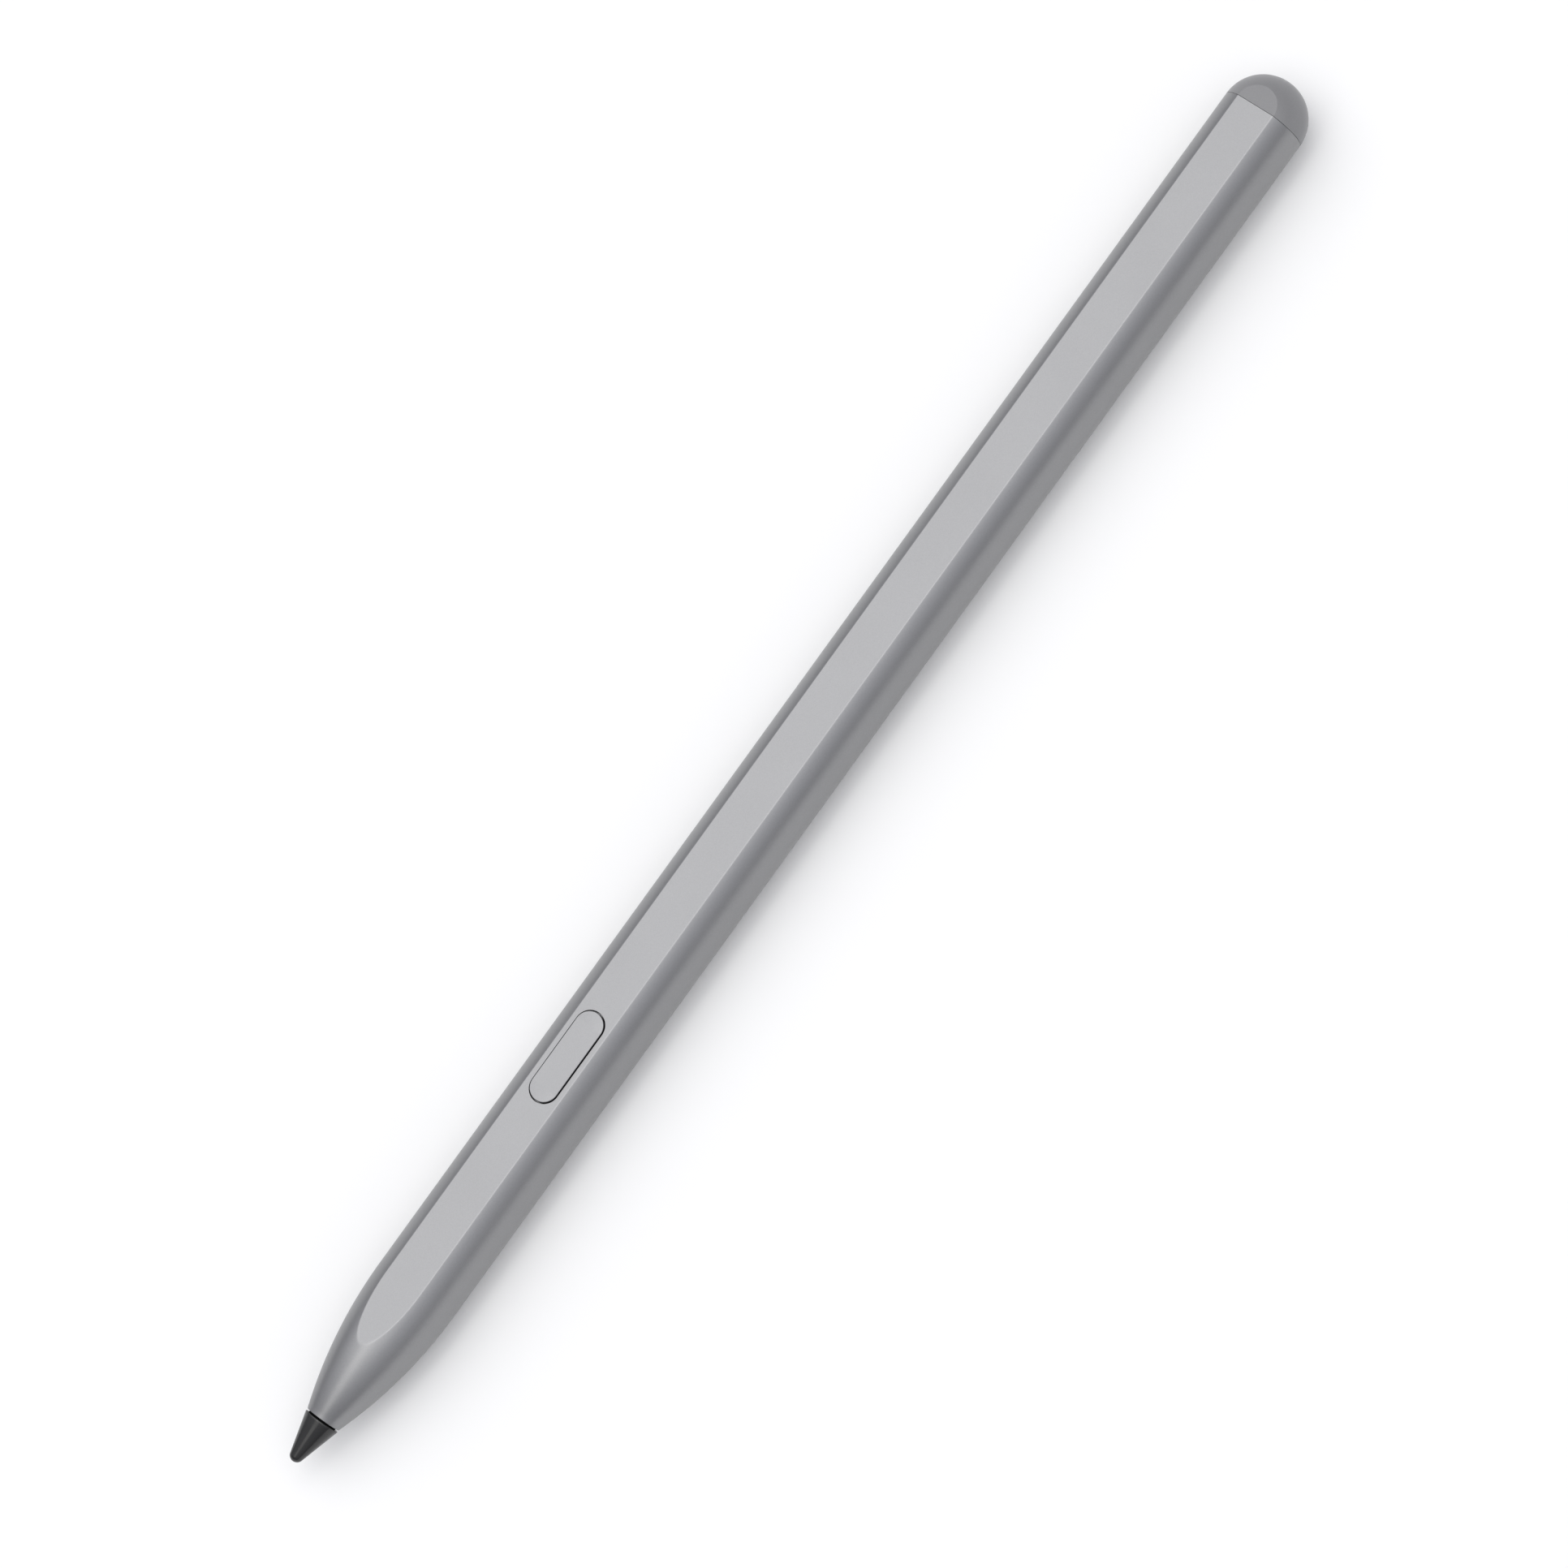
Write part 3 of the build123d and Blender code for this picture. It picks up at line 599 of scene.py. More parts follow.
def grown(tree: NodeTree, source: Mesh, finish: "Finish", sizes: Mapping[str, object]) -> Mesh:
    """Runs a geometry tree.

    Args:
        tree: The tree.
        source: The mesh that goes into it.
        finish: What the piece is dressed in.
        sizes: Values of the tree's named inputs.

    Returns:
        What it makes, as a plain mesh.
    """
    values = {**sizes, "Material": finish.material()}
    sockets = [item for item in tree.interface.items_tree if item.in_out == "INPUT"]
    inputs = [(item.identifier, values[item.name]) for item in sockets if item.name in values]
    return modified(source, "NODES", inputs, node_group=tree)


def merged(mesh: Mesh, tool: Mesh, way: Merge) -> Mesh:
    """Carves one closed mesh out of another, or joins the two.

    Args:
        mesh: The mesh that is worked on.
        tool: The other mesh.
        way: What is done.

    Returns:
        The new mesh.
    """
    helper = linked("tool", tool)
    result = modified(mesh, "BOOLEAN", operation=way.value, solver="EXACT", object=helper)
    bpy.data.objects.remove(helper)
    return result


def evened(mesh: Mesh) -> Mesh:
    """Lets broad faces set the shading along their borders, so that planes look plane.

    Args:
        mesh: The mesh that is worked on.

    Returns:
        The new mesh.
    """
    mesh.shade_smooth()
    mesh.set_sharp_from_angle(angle=SHARP_ANGLE)
    return modified(mesh, "WEIGHTED_NORMAL", keep_sharp=True)


def soft_block(size: Vector, edge: float, station: float = 0.0) -> Mesh:
    """Makes a block with bevelled edges.

    Args:
        size: Its length, width and height.
        edge: Width of the bevel.
        station: Place of its middle along X.

    Returns:
        The mesh.
    """
    form = bmesh.new()
    bmesh.ops.create_cube(form, size=1.0)
    bmesh.ops.scale(form, vec=size, verts=form.verts)
    bmesh.ops.bevel(form, geom=form.edges[:], offset=edge, segments=2, profile=0.5, affect="EDGES")
    bmesh.ops.translate(form, vec=(station, 0.0, 0.0), verts=form.verts)
    return finished(form, "block")


# Finishes


def pattern(name: str) -> tuple[GroupGraph, Field]:
    """Starts a shader group that has a place and the size of its pattern as inputs.

    Args:
        name: Name of the group.

    Returns:
        The group, and the place in units of the size.
    """
    graph = GroupGraph(name)
    place = graph.take("Vector", Socket.VECTOR)
    return graph, graph.scaled(place, 1.0 / graph.take("Size"))


@cache
def surface_grain() -> NodeTree:
    """Makes the shader group of a fine, uneven skin.

    Returns:
        The group.
    """
    graph, pores = pattern("surface grain")
    cloud_share = 0.31
    graph.give("Height", graph.noise(pores, detail=3.0, roughness=0.6))
    graph.give("Shade", graph.noise(graph.scaled(pores, cloud_share), detail=2.0))
    return graph.tree


@cache
def metal_flake() -> NodeTree:
    """Makes the shader group of lacquer with metal flake: a tone for each flake, and a slight peel.

    Returns:
        The group.
    """
    graph, flakes = pattern("metal flake")
    peel_share = 0.22
    tone, _, _ = graph.parts(graph.add("ShaderNodeTexVoronoi", flakes, 1.0, out="Color"))
    graph.give("Height", graph.noise(graph.scaled(flakes, peel_share), detail=2.0))
    graph.give("Shade", tone)
    return graph.tree


@cache
def tone_drift() -> NodeTree:
    """Makes the shader group that lets a colour drift slowly between lighter and darker.

    Returns:
        The group.
    """
    graph, wide = pattern("tone drift")
    colour = graph.take("Colour", Socket.COLOUR)
    swing = (graph.noise(wide, detail=1.0) - 0.5) * graph.take("Amount") * 2.0 + 1.0
    graph.give("Colour", graph.scaled(colour, swing), Socket.COLOUR)
    return graph.tree


@cache
def handling_marks() -> NodeTree:
    """Makes the shader group of smudges that fingers and tools leave.

    Returns:
        The group.
    """
    graph, wide = pattern("handling marks")
    clear, smudged = 0.34, 0.66
    cloud = graph.noise(wide, detail=4.0, roughness=0.55, warp=0.6)
    graph.give("Mask", graph.add("ShaderNodeMapRange", cloud, clear, smudged, 0.0, 1.0))
    return graph.tree


@cache
def printed_tracks() -> NodeTree:
    """Makes the shader group of copper tracks in lanes along X, broken at random.

    Returns:
        The group.
    """
    graph = GroupGraph("printed tracks")
    x, y, _ = graph.parts(graph.take("Vector", Socket.VECTOR))
    pitch, run = graph.take_values("Pitch", "Run")
    shift_share, half_track_share, bare_share = 0.37, 0.27, 0.42
    lane = y / pitch
    number = lane.math("FLOOR")
    stretch = (x / run + number * shift_share).math("FLOOR")
    dice = graph.add("ShaderNodeTexWhiteNoise", graph.vector(number, stretch, 0.0))
    inside = (lane.math("FRACT") - 0.5).math("ABSOLUTE").math("LESS_THAN", half_track_share)
    graph.give("Mask", inside * dice.math("GREATER_THAN", bare_share))
    return graph.tree


@dataclass(frozen=True)
class Finish:
    """A surface finish: a colour with a fine grain, a slow drift of tone and marks of handling."""

    slot: str
    colour: Colour
    roughness: float
    metallic: float = 0.0
    ior: float = 1.5
    grain: Grain = Grain.MOULDED
    grain_size: float = 0.25 * MM
    grain_depth: float = 1.5 * MICRON
    grain_shade: float = 0.05
    drift_size: float = 9.0 * MM
    drift: float = 0.06
    marks_size: float = 5.0 * MM
    marks: float = 0.08
    # How far the flat's edges are lightened: partly edge wear, partly a painted highlight along the
    # rounded edges.
    rub: float = 0.0
    variant: str = "finish"

    def ground(self, graph: Graph, place: Field) -> Feed:
        """Gives the colour before grain and drift."""
        return self.colour

    def material(self) -> Material:
        """Makes the material at its first call, and hands it back.

        Returns:
            The material.
        """
        name = f"{self.slot}_{self.variant}"
        if name in bpy.data.materials:
            return bpy.data.materials[name]
        material = bpy.data.materials.new(name)
        material.use_nodes = True
        graph = Graph(material.node_tree)
        place = graph.add("ShaderNodeTexCoord", out="Object")
        packed = graph.add("ShaderNodeMapping", place, None, None, self.grain.packing)
        texture = metal_flake() if self.grain is Grain.FLAKE else surface_grain()
        grain = graph.group(texture, {"Vector": packed, "Size": self.grain_size})
        marks = graph.group(handling_marks(), {"Vector": place, "Size": self.marks_size})["Mask"]
        drift = {"Vector": place, "Size": self.drift_size, "Amount": self.drift}
        ground = graph.group(tone_drift(), {**drift, "Colour": self.ground(graph, place)})["Colour"]
        tone = (grain["Shade"] - 0.5) * (2.0 * self.grain_shade) + 1.0
        # Painted highlight along the flat's edges, mixed with edge wear: the tone is lightened
        # where the edge attribute is 1.
        if self.rub:
            wear_and_highlight = graph.add("ShaderNodeAttribute", attribute_name=EDGE_ATTRIBUTE, out="Fac")
            tone = tone + wear_and_highlight * (marks * 0.5 + 0.5) * self.rub
        bump = {"Distance": self.grain_depth, "Height": grain["Height"]}
        relief = graph.node("ShaderNodeBump", bump)
        shader = graph.node(
            "ShaderNodeBsdfPrincipled",
            {
                "Base Color": graph.scaled(ground, tone),
                "Metallic": self.metallic,
                "IOR": self.ior,
                "Roughness": (marks - 0.5) * self.marks + self.roughness,
                "Normal": Field(graph, relief.outputs["Normal"]),
            },
        )
        graph.node("ShaderNodeOutputMaterial", {"Surface": Field(graph, shader.outputs["BSDF"])})
        return material


@dataclass(frozen=True)
class Metal(Finish):
    """A finish of bare or plated metal."""

    metallic: float = 1.0


@dataclass(frozen=True)
class Printed(Finish):
    """A finish of a circuit: tracks show through the skin as a second colour."""

    track_colour: Colour = (0.3, 0.3, 0.3)
    track_pitch: float = 0.42 * MM
    track_run: float = 5.0 * MM

    def ground(self, graph: Graph, place: Field) -> Feed:
        """Mixes the colour of the skin and that of the tracks.

        Args:
            graph: The material's tree.
            place: The place on the piece.

        Returns:
            The mixed colour.
        """
        layout = {"Vector": place, "Pitch": self.track_pitch, "Run": self.track_run}
        mask = graph.group(printed_tracks(), layout)["Mask"]
        return graph.add("ShaderNodeMix", mask, self.colour, self.track_colour, data_type="RGBA")


SATIN_LACQUER = Metal(
    "barrel_paint",
    (0.287, 0.2875, 0.293),
    0.36,
    grain=Grain.FLAKE,
    grain_size=0.07 * MM,
    grain_depth=0.25 * MICRON,
    grain_shade=0.03,
    drift_size=22.0 * MM,
    drift=0.012,
    marks_size=7.0 * MM,
    marks=0.03,
    rub=0.05,
)
CAP_SATIN = Finish(
    "cap_plastic",
    (0.21, 0.21, 0.216),
    0.36,
    grain=Grain.FLAKE,
    grain_size=0.07 * MM,
    grain_depth=0.3 * MICRON,
    grain_shade=0.03,
    drift_size=12.0 * MM,
    drift=0.015,
    marks=0.04,
    rub=0.04,
)
NIB_RESIN = Finish(
    "nib_plastic",
    (0.0016, 0.0016, 0.0017),
    0.2,
    ior=1.6,
    grain_size=0.12 * MM,
    grain_depth=0.8 * MICRON,
    grain_shade=0.10,
    drift_size=1.6 * MM,
    drift=0.12,
    marks_size=1.2 * MM,
    marks=0.12,
)
NIB_SLEEVE = Finish(
    "nib_plastic", NIB_RESIN.colour, 0.75, ior=1.2, grain_size=0.12 * MM, variant="matt"
)
TURNED_BRASS = Metal("brass", (0.72, 0.52, 0.22), 0.28, grain=Grain.TURNED, grain_size=0.05 * MM)
PLATED_STRIP = Metal(
    "plate_metal", (0.62, 0.60, 0.56), 0.30, grain=Grain.DRAWN, grain_size=0.06 * MM
)
SPRING_STEEL = Metal("spring_steel", (0.55, 0.55, 0.56), 0.26, grain_size=0.08 * MM)
GLAZED_CERAMIC = Finish("sensor_ceramic", (0.78, 0.76, 0.70), 0.32, grain_size=0.15 * MM)
ACETAL = Finish("bush_plastic", (0.74, 0.73, 0.70), 0.48, grain=Grain.TURNED, grain_size=0.08 * MM)
BARE_COPPER = Metal("copper", (0.72, 0.33, 0.17), 0.30, grain_size=0.10 * MM, drift=0.10)
SWITCH_PLASTIC = Finish("switch_plastic", (0.05, 0.05, 0.055), 0.50, grain_size=0.12 * MM)
IVORY_PLASTIC = Finish("plunger_plastic", (0.62, 0.60, 0.55), 0.45, grain_size=0.12 * MM)
GLASS_FILLED = Finish(
    "frame_plastic", (0.10, 0.10, 0.11), 0.58, grain_size=0.18 * MM, grain_depth=4.0 * MICRON
)
BOARD_MASK = Printed(
    "board_laminate", (0.03, 0.12, 0.07), 0.38, grain_size=0.2 * MM, track_colour=(0.05, 0.19, 0.10)
)
CHIP_RESIN = Finish(
    "chip_resin", (0.03, 0.03, 0.032), 0.55, grain_size=0.08 * MM, grain_depth=2.5 * MICRON
)
PLATED_CAN = Metal("can_steel", (0.66, 0.66, 0.67), 0.25, grain=Grain.DRAWN, grain_size=0.06 * MM)
CERAMIC_CHIP = Finish("capacitor_ceramic", (0.42, 0.29, 0.18), 0.45, grain_size=0.1 * MM)
AMBER_FILM = Printed(
    "flex_film",
    (0.48, 0.22, 0.04),
    0.30,
    track_colour=(0.60, 0.30, 0.09),
    track_pitch=0.5 * MM,
    track_run=60.0 * MM,
)
NICKEL_PLATE = Metal("magnet_nickel", (0.68, 0.67, 0.64), 0.24, grain_size=0.3 * MM)
SINTERED_FERRITE = Finish(
    "ferrite", (0.06, 0.06, 0.065), 0.62, grain_size=0.1 * MM, grain_depth=3.0 * MICRON
)
DRAWN_CAN = Metal("cell_can", (0.60, 0.61, 0.63), 0.30, grain=Grain.DRAWN, grain_size=0.05 * MM)
SILICONE = Finish(
    "pad_rubber", (0.05, 0.05, 0.055), 0.70, grain_size=0.15 * MM, grain_depth=3.0 * MICRON
)


# Pieces of the pen


@dataclass(frozen=True)
class Span:
    """Box that a CAD node fills."""

    low: Vector
    high: Vector

    @classmethod
    def of(cls, node: str) -> "Span":
        """Reads the box of a node."""
        return cls(*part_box(node))

    @property
    def middle(self) -> Vector:
        """Middle of the box."""
        return (self.low + self.high) / 2

    @property
    def size(self) -> Vector:
        """Lengths of its sides."""
        return self.high - self.low


@dataclass(frozen=True)
class PenForm:
    """Outer form that the pen's pieces share, read from the frame. Stations are places along X."""

    radius: float
    axis: float
    flat: float
    rim: float
    nose_end: float
    seam: float
    tail: float
    rim_radius: float = 1.86 * MM
    edge_round: float = 0.04 * MM
    edge_width: float = 0.07 * MM
    crowding: float = 1.5

    @classmethod
    def from_frame(cls) -> "PenForm":
        """Takes the form from the record's mounts and the boxes of the outer pieces.

        Returns:
            The form.
        """
        mounts = {mount["name"]: mount for mount in frame["record"]["mounts"]}
        grip = mounts["barrel_grip"]
        middle, _, axis = grip["pos_m"]
        barrel = Span.of("barrel")
        return cls(
            radius=grip["dims"]["r_mm"] * MM,
            axis=axis,
            flat=mounts["dock_flat"]["pos_m"][2] - axis,
            rim=barrel.low.x,
            nose_end=middle - grip["dims"]["length_mm"] * MM / 2,
            seam=barrel.high.x,
            tail=Span.of("end_cap").high.x,
        )

    @property
    def nose_arc(self) -> float:
        """Radius of the arc that the nose follows.

        Returns:
            The radius.
        """
        length = self.nose_end - self.rim
        rise = self.radius - self.rim_radius
        return (length**2 + rise**2) / (2 * rise)

    def nose_radius(self, station: float, inset: float = 0.0) -> float:
        """Radius of the nose at a station, on a surface moved inwards by inset."""
        height = math.sqrt((self.nose_arc - inset) ** 2 - (self.nose_end - station) ** 2)
        return height - (self.nose_arc - self.radius)

    def nose_station(self, radius: float, inset: float = 0.0) -> float:
        """Station at which the nose, moved inwards by inset, has a radius."""
        height = radius + self.nose_arc - self.radius
        return self.nose_end - math.sqrt((self.nose_arc - inset) ** 2 - height**2)

    def shell(
        self, rows: Sequence[Row], finish: Finish, columns: int, flat_share: float = NO_FLAT_SHARE
    ) -> Mesh:
        """Turns a piece from its rows.

        Args:
            rows: Its rings, so ordered that the outside runs towards the tail.
            finish: What it is dressed in.
            columns: How many cells go round it.
            flat_share: Share of the cells that lie on the flat.

        Returns:
            The closed mesh.
        """
        sizes = {
            "Columns": columns,
            "Flat Share": flat_share,
            "Crowding": self.crowding,
            "Edge Round": self.edge_round,
            "Edge Width": self.edge_width,
            "Axis Height": self.axis,
        }
        profile = chain([(row.station, row.radius) for row in rows], [row.flat for row in rows])
        return grown(turned_shell(), profile, finish, sizes)


def put(name: str, mesh: Mesh, body: Body, finish: Finish, *nodes: str) -> Object:
    """Sets a finished mesh into the scene as a piece of the pen.

    Args:
        name: Name of the piece.
        mesh: Its mesh, in the frame.
        body: The body that it rides on.
        finish: The finish that it wears. It is not used.
        *nodes: CAD nodes that it stands for.

    Returns:
        The piece.
    """
    mesh.name = name
    piece = linked(name, mesh)
    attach(piece, body.value)
    finish.slot
    if nodes:
        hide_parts(*nodes)
    log.info("%s: %d faces, on %s", name, len(mesh.polygons), body.value)
    return piece


class SubAssembly:
    """A group of pieces that are built and dressed together."""

    finishes: ClassVar[Mapping[str, Finish]] = {}

    def build(self) -> None:
        """Builds the meshes that replace CAD nodes."""

    def dress(self) -> None:
        """Gives the CAD nodes that stay their finishes."""
        for node, finish in self.finishes.items():
            slots = frame["nodes"][node].data.materials
            slots.clear()
            slots.append(finish.material())
            log.info("%s: dressed as %s", node, finish.slot)


@dataclass(frozen=True)
class Pill:
    """Pill-shaped outline along the pen, such as that of the side button."""

    station: float
    length: float
    width: float
    columns: int = 96

    def loft(self, points: Sequence[Point], finish: Finish) -> Mesh:
        """Lofts the outline along a profile.

        Args:
            points: Growth and height along the profile, from top to bottom. The axis is added.
            finish: What the piece is dressed in.

        Returns:
            The closed mesh.
        """
        axis = -self.width / 2
        sizes = {
            "Columns": self.columns,
            "Half Straight": (self.length - self.width) / 2,
            "Half Width": self.width / 2,
            "Station": self.station,
        }
        closed = [(axis, points[0][1]), *points, (axis, points[-1][1])]
        return grown(pill_loft(), chain(closed), finish, sizes)


@dataclass
class Barrel(SubAssembly):
    """Lacquered shell of the pen, with its pointed nose and the slot of the side button."""

    form: PenForm
    slot: Pill
    wall: float = 0.8 * MM
    bore_radius: float = 1.65 * MM
    rim_round: float = 0.06 * MM
    tail_edge: float = 0.012 * MM
    slot_round: float = 0.03 * MM
    slot_lip: float = math.radians(15.0)
    slot_rings: int = 5
    rim_rings: int = 6
    front_rings: int = 28
    nose_rings: int = 48
    tube_rings: int = 40
    bore_rings: int = 24
    ring_crowding: float = 2.0
    columns: int = 256
    flat_share: float = 0.25

    def rows(self) -> list[Row]:
        """Lists the rings of the shell.

        Returns:
            The rim, nose, tube and tail end outside, then the bore back to the rim.
        """
        form = self.form
        rim_back = form.rim + self.rim_round
        rim_low = form.rim_radius - self.rim_round
        rim_reach = (-self.rim_round, form.nose_radius(rim_back) - rim_low)
        flat_end = form.nose_station(form.flat)
        front = steps(flat_end, rim_back, self.front_rings, self.ring_crowding)[:-1]
        nose = steps(flat_end, form.nose_end, self.nose_rings, self.ring_crowding)[1:]
        tube = steps(form.nose_end, form.seam - self.tail_edge, self.tube_rings)[1:]
        outside = [
            *arc((rim_back, rim_low), rim_reach, reversed(quarter(self.rim_rings))),
            *[(station, form.nose_radius(station)) for station in (*reversed(front), *nose)],
            *[(station, form.radius) for station in tube],
        ]
        throat = form.nose_station(self.bore_radius, self.wall)
        inside = [
            (station, form.nose_radius(station, self.wall))
            for station in steps(form.nose_end, throat, self.bore_rings)
        ]
        inner_flat = form.flat - self.wall
        mouth = Row(form.rim, self.bore_radius, inner_flat)
        return [
            mouth,
            *rings(outside, form.flat),
            Row(form.seam, form.radius - self.tail_edge, form.flat - self.tail_edge),
            Row(form.seam, form.radius - self.wall, inner_flat),
            *rings(inside, inner_flat),
            mouth,
        ]

    def slot_profile(self) -> list[Point]:
        """Lists the profile of the slot's cutter.

        Returns:
            Growth and height from above the flat, round its lip and down through the wall.
        """
        top = self.form.axis + self.form.flat
        edge = self.slot_round
        turns = steps(self.slot_lip, math.pi / 2, self.slot_rings)
        lip = arc((edge, top - edge), (-edge, edge), turns)
        return [(2 * edge, top + self.wall), *lip, (0.0, top - 2 * self.wall)]

    def build(self) -> None:
        """Turns the shell, cuts the slot and sets the barrel in place."""
        shell = self.form.shell(self.rows(), SATIN_LACQUER, self.columns, self.flat_share)
        cutter = self.slot.loft(self.slot_profile(), SATIN_LACQUER)
        mesh = evened(merged(shell, cutter, Merge.CARVE))
        put("barrel_shell", mesh, Body.HOUSING, SATIN_LACQUER, "barrel")


@dataclass
class TailCap(SubAssembly):
    """Domed tail with its spigot in the barrel."""

    form: PenForm
    seam_gap: float = 0.03 * MM
    front_edge: float = 0.012 * MM
    spigot_inset: float = 0.83 * MM
    spigot_edge: float = 0.1 * MM
    hollow_radius: float = 2.374 * MM
    pocket: float = 2.2 * MM
    facet_rings: int = 20
    facet_crowding: float = 2.0
    dome_rings: int = 44
    dome_crowding: float = 1.6
    columns: int = 200
    flat_share: float = 0.25

    def rows(self) -> list[Row]:
        """Lists the rings of the cap.

        Returns:
            The hollow from its end to the front, the spigot, then the dome.
        """
        form = self.form
        front = Span.of("end_cap").low.x
        start = form.seam + self.seam_gap
        length = form.tail - start
        pocket_end = start + self.pocket
        spigot = form.radius - self.spigot_inset
        spigot_flat = form.flat - self.spigot_inset
        facet_end = math.acos(form.flat / form.radius)
        front_turn = math.asin(self.front_edge / length)
        facet = steps(facet_end, front_turn, self.facet_rings, self.facet_crowding)
        crown = steps(facet_end, math.pi / 2, self.dome_rings, self.dome_crowding)[1:-1]
        return [
            Row(pocket_end, 0.0),
            Row(pocket_end, self.hollow_radius),
            Row(front, self.hollow_radius),
            Row(front, spigot - self.spigot_edge, spigot_flat - self.spigot_edge),
            Row(front + self.spigot_edge, spigot, spigot_flat),
            Row(start, spigot, spigot_flat),
            Row(start, form.radius - self.front_edge, form.flat - self.front_edge),
            *rings(arc((start, 0.0), (length, form.radius), (*reversed(facet), *crown)), form.flat),
            Row(form.tail, 0.0),
        ]

    def build(self) -> None:
        """Turns the cap and sets it in place."""
        mesh = evened(self.form.shell(self.rows(), CAP_SATIN, self.columns, self.flat_share))
        put("tail_cap", mesh, Body.HOUSING, CAP_SATIN, "end_cap")


@dataclass
class SideKey(SubAssembly):
    """Side button: a key in the flat, with ears under the wall and a foot on the switch."""

    length: float = 10.28 * MM
    width: float = 3.04 * MM
    end_gap: float = 0.12 * MM
    side_gap: float = 0.09 * MM
    top_round: float = 0.08 * MM
    ear_length: float = 0.8 * MM
    ear_width: float = 2.2 * MM
    ear_thickness: float = 0.5 * MM
    ear_drop: float = 0.83 * MM
    foot_width: float = 1.2 * MM
    under_round: float = 0.05 * MM
    crown_rings: int = 8
    finishes: ClassVar[Mapping[str, Finish]] = {"switch_plunger": IVORY_PLASTIC}

    def outline(self, length: float, width: float) -> Pill:
        """Lays a pill-shaped outline at the button's station."""
        return Pill(Span.of("side_button").middle.x, length, width)

    @property
    def slot(self) -> Pill:
        """Outline of the slot that the key moves in."""
        return self.outline(self.length + 2 * self.end_gap, self.width + 2 * self.side_gap)

    def block(self, outline: Pill, top: float, bottom: float, edge: float) -> Mesh:
        """Lofts a pill-shaped block with its top edge rounded."""
        crown = arc((-edge, top - edge), (edge, edge), quarter(self.crown_rings))
        return outline.loft([*crown, (0.0, bottom)], SATIN_LACQUER)

    def build(self) -> None:
        """Builds the key, its ears and its foot as one piece."""
        span = Span.of("side_button")
        ear_top = Span.of("barrel").high.z - self.ear_drop
        ear_bottom = ear_top - self.ear_thickness
        key = self.outline(self.length, self.width)
        ears = self.outline(self.length + 2 * self.ear_length, self.ear_width)
        foot = self.outline(self.foot_width, self.foot_width)
        mesh = self.block(key, span.high.z, ear_bottom - WELD, self.top_round)
        for outline, bottom in ((ears, ear_bottom), (foot, span.low.z)):
            mesh = merged(mesh, self.block(outline, ear_top, bottom, self.under_round), Merge.JOIN)
        put("side_key", evened(mesh), Body.BUTTON, SATIN_LACQUER, "side_button")


@dataclass
class WritingNib(SubAssembly):
    """Replaceable nib: a blunt glossy cone, and a matt collar and stem behind it."""

    form: PenForm
    cone_length: float = 4.8 * MM
    base_radius: float = 1.89 * MM
    base_round: float = 0.08 * MM
    point_radius: float = 0.72 * MM
    collar_radius: float = 1.55 * MM
    collar_length: float = 1.6 * MM
    collar_root: float = 0.4 * MM
    stem_radius: float = 0.75 * MM
    stem_edge: float = 0.12 * MM
    point_rings: int = 16
    cone_rings: int = 24
    base_rings: int = 6
    columns: int = 128

    def cone_rows(self, tip: float, base: float) -> list[Row]:
        """Lists the rings of the cone.

        Args:
            tip: Station of its point.
            base: Station of its base.

        Returns:
            The rings, from the point to the middle of the base.
        """
        reach = self.cone_length - self.point_radius
        side = math.hypot(self.base_radius, reach)
        slope = math.acos(self.point_radius / side) - math.atan2(reach, self.base_radius)
        centre = (tip + self.point_radius, 0.0)
        turns = steps(math.pi / 2, slope, self.point_rings)
        point = arc(centre, (-self.point_radius, self.point_radius), turns)
        start, start_radius = point[-1]
        rise = (self.base_radius - start_radius) / (base - start)
        round_front = base - self.base_round
        round_low = start_radius + rise * (round_front - start) - self.base_round
        cone = [
            (station, start_radius + rise * (station - start))
            for station in steps(start, round_front, self.cone_rings)[1:]
        ]
        rim = arc((round_front, round_low), (self.base_round,) * 2, quarter(self.base_rings)[1:])
        return rings([*point, *cone, *rim, (base, 0.0)])

    def sleeve_rows(self, base: float, end: float) -> list[Row]:
        """Lists the rings of the collar and the stem.

        Args:
            base: Station of the cone's base, in which the collar is rooted.
            end: Station of the end of the stem.

        Returns:
            The rings, from the root to the end.
        """
        root = base - self.collar_root
        collar_end = base + self.collar_length
        collar = [
            (root, 0.0),
            (root, self.collar_radius),
            (collar_end - self.stem_edge, self.collar_radius),
            (collar_end, self.collar_radius - self.stem_edge),
        ]
        stem = [
            (collar_end, self.stem_radius),
            (end - self.stem_edge, self.stem_radius),
            (end, self.stem_radius - self.stem_edge),
            (end, 0.0),
        ]
        return rings([*collar, *stem])

    def build(self) -> None:
        """Turns the cone and the sleeve behind it and sets them in place."""
        span = Span.of("nib")
        base = span.low.x + self.cone_length
        cone = self.form.shell(self.cone_rows(span.low.x, base), NIB_RESIN, self.columns)
        put("writing_nib", evened(cone), Body.NIB, NIB_RESIN, "nib")
        sleeve = self.form.shell(self.sleeve_rows(base, span.high.x), NIB_SLEEVE, self.columns)
        put("nib_sleeve", evened(sleeve), Body.NIB, NIB_SLEEVE)


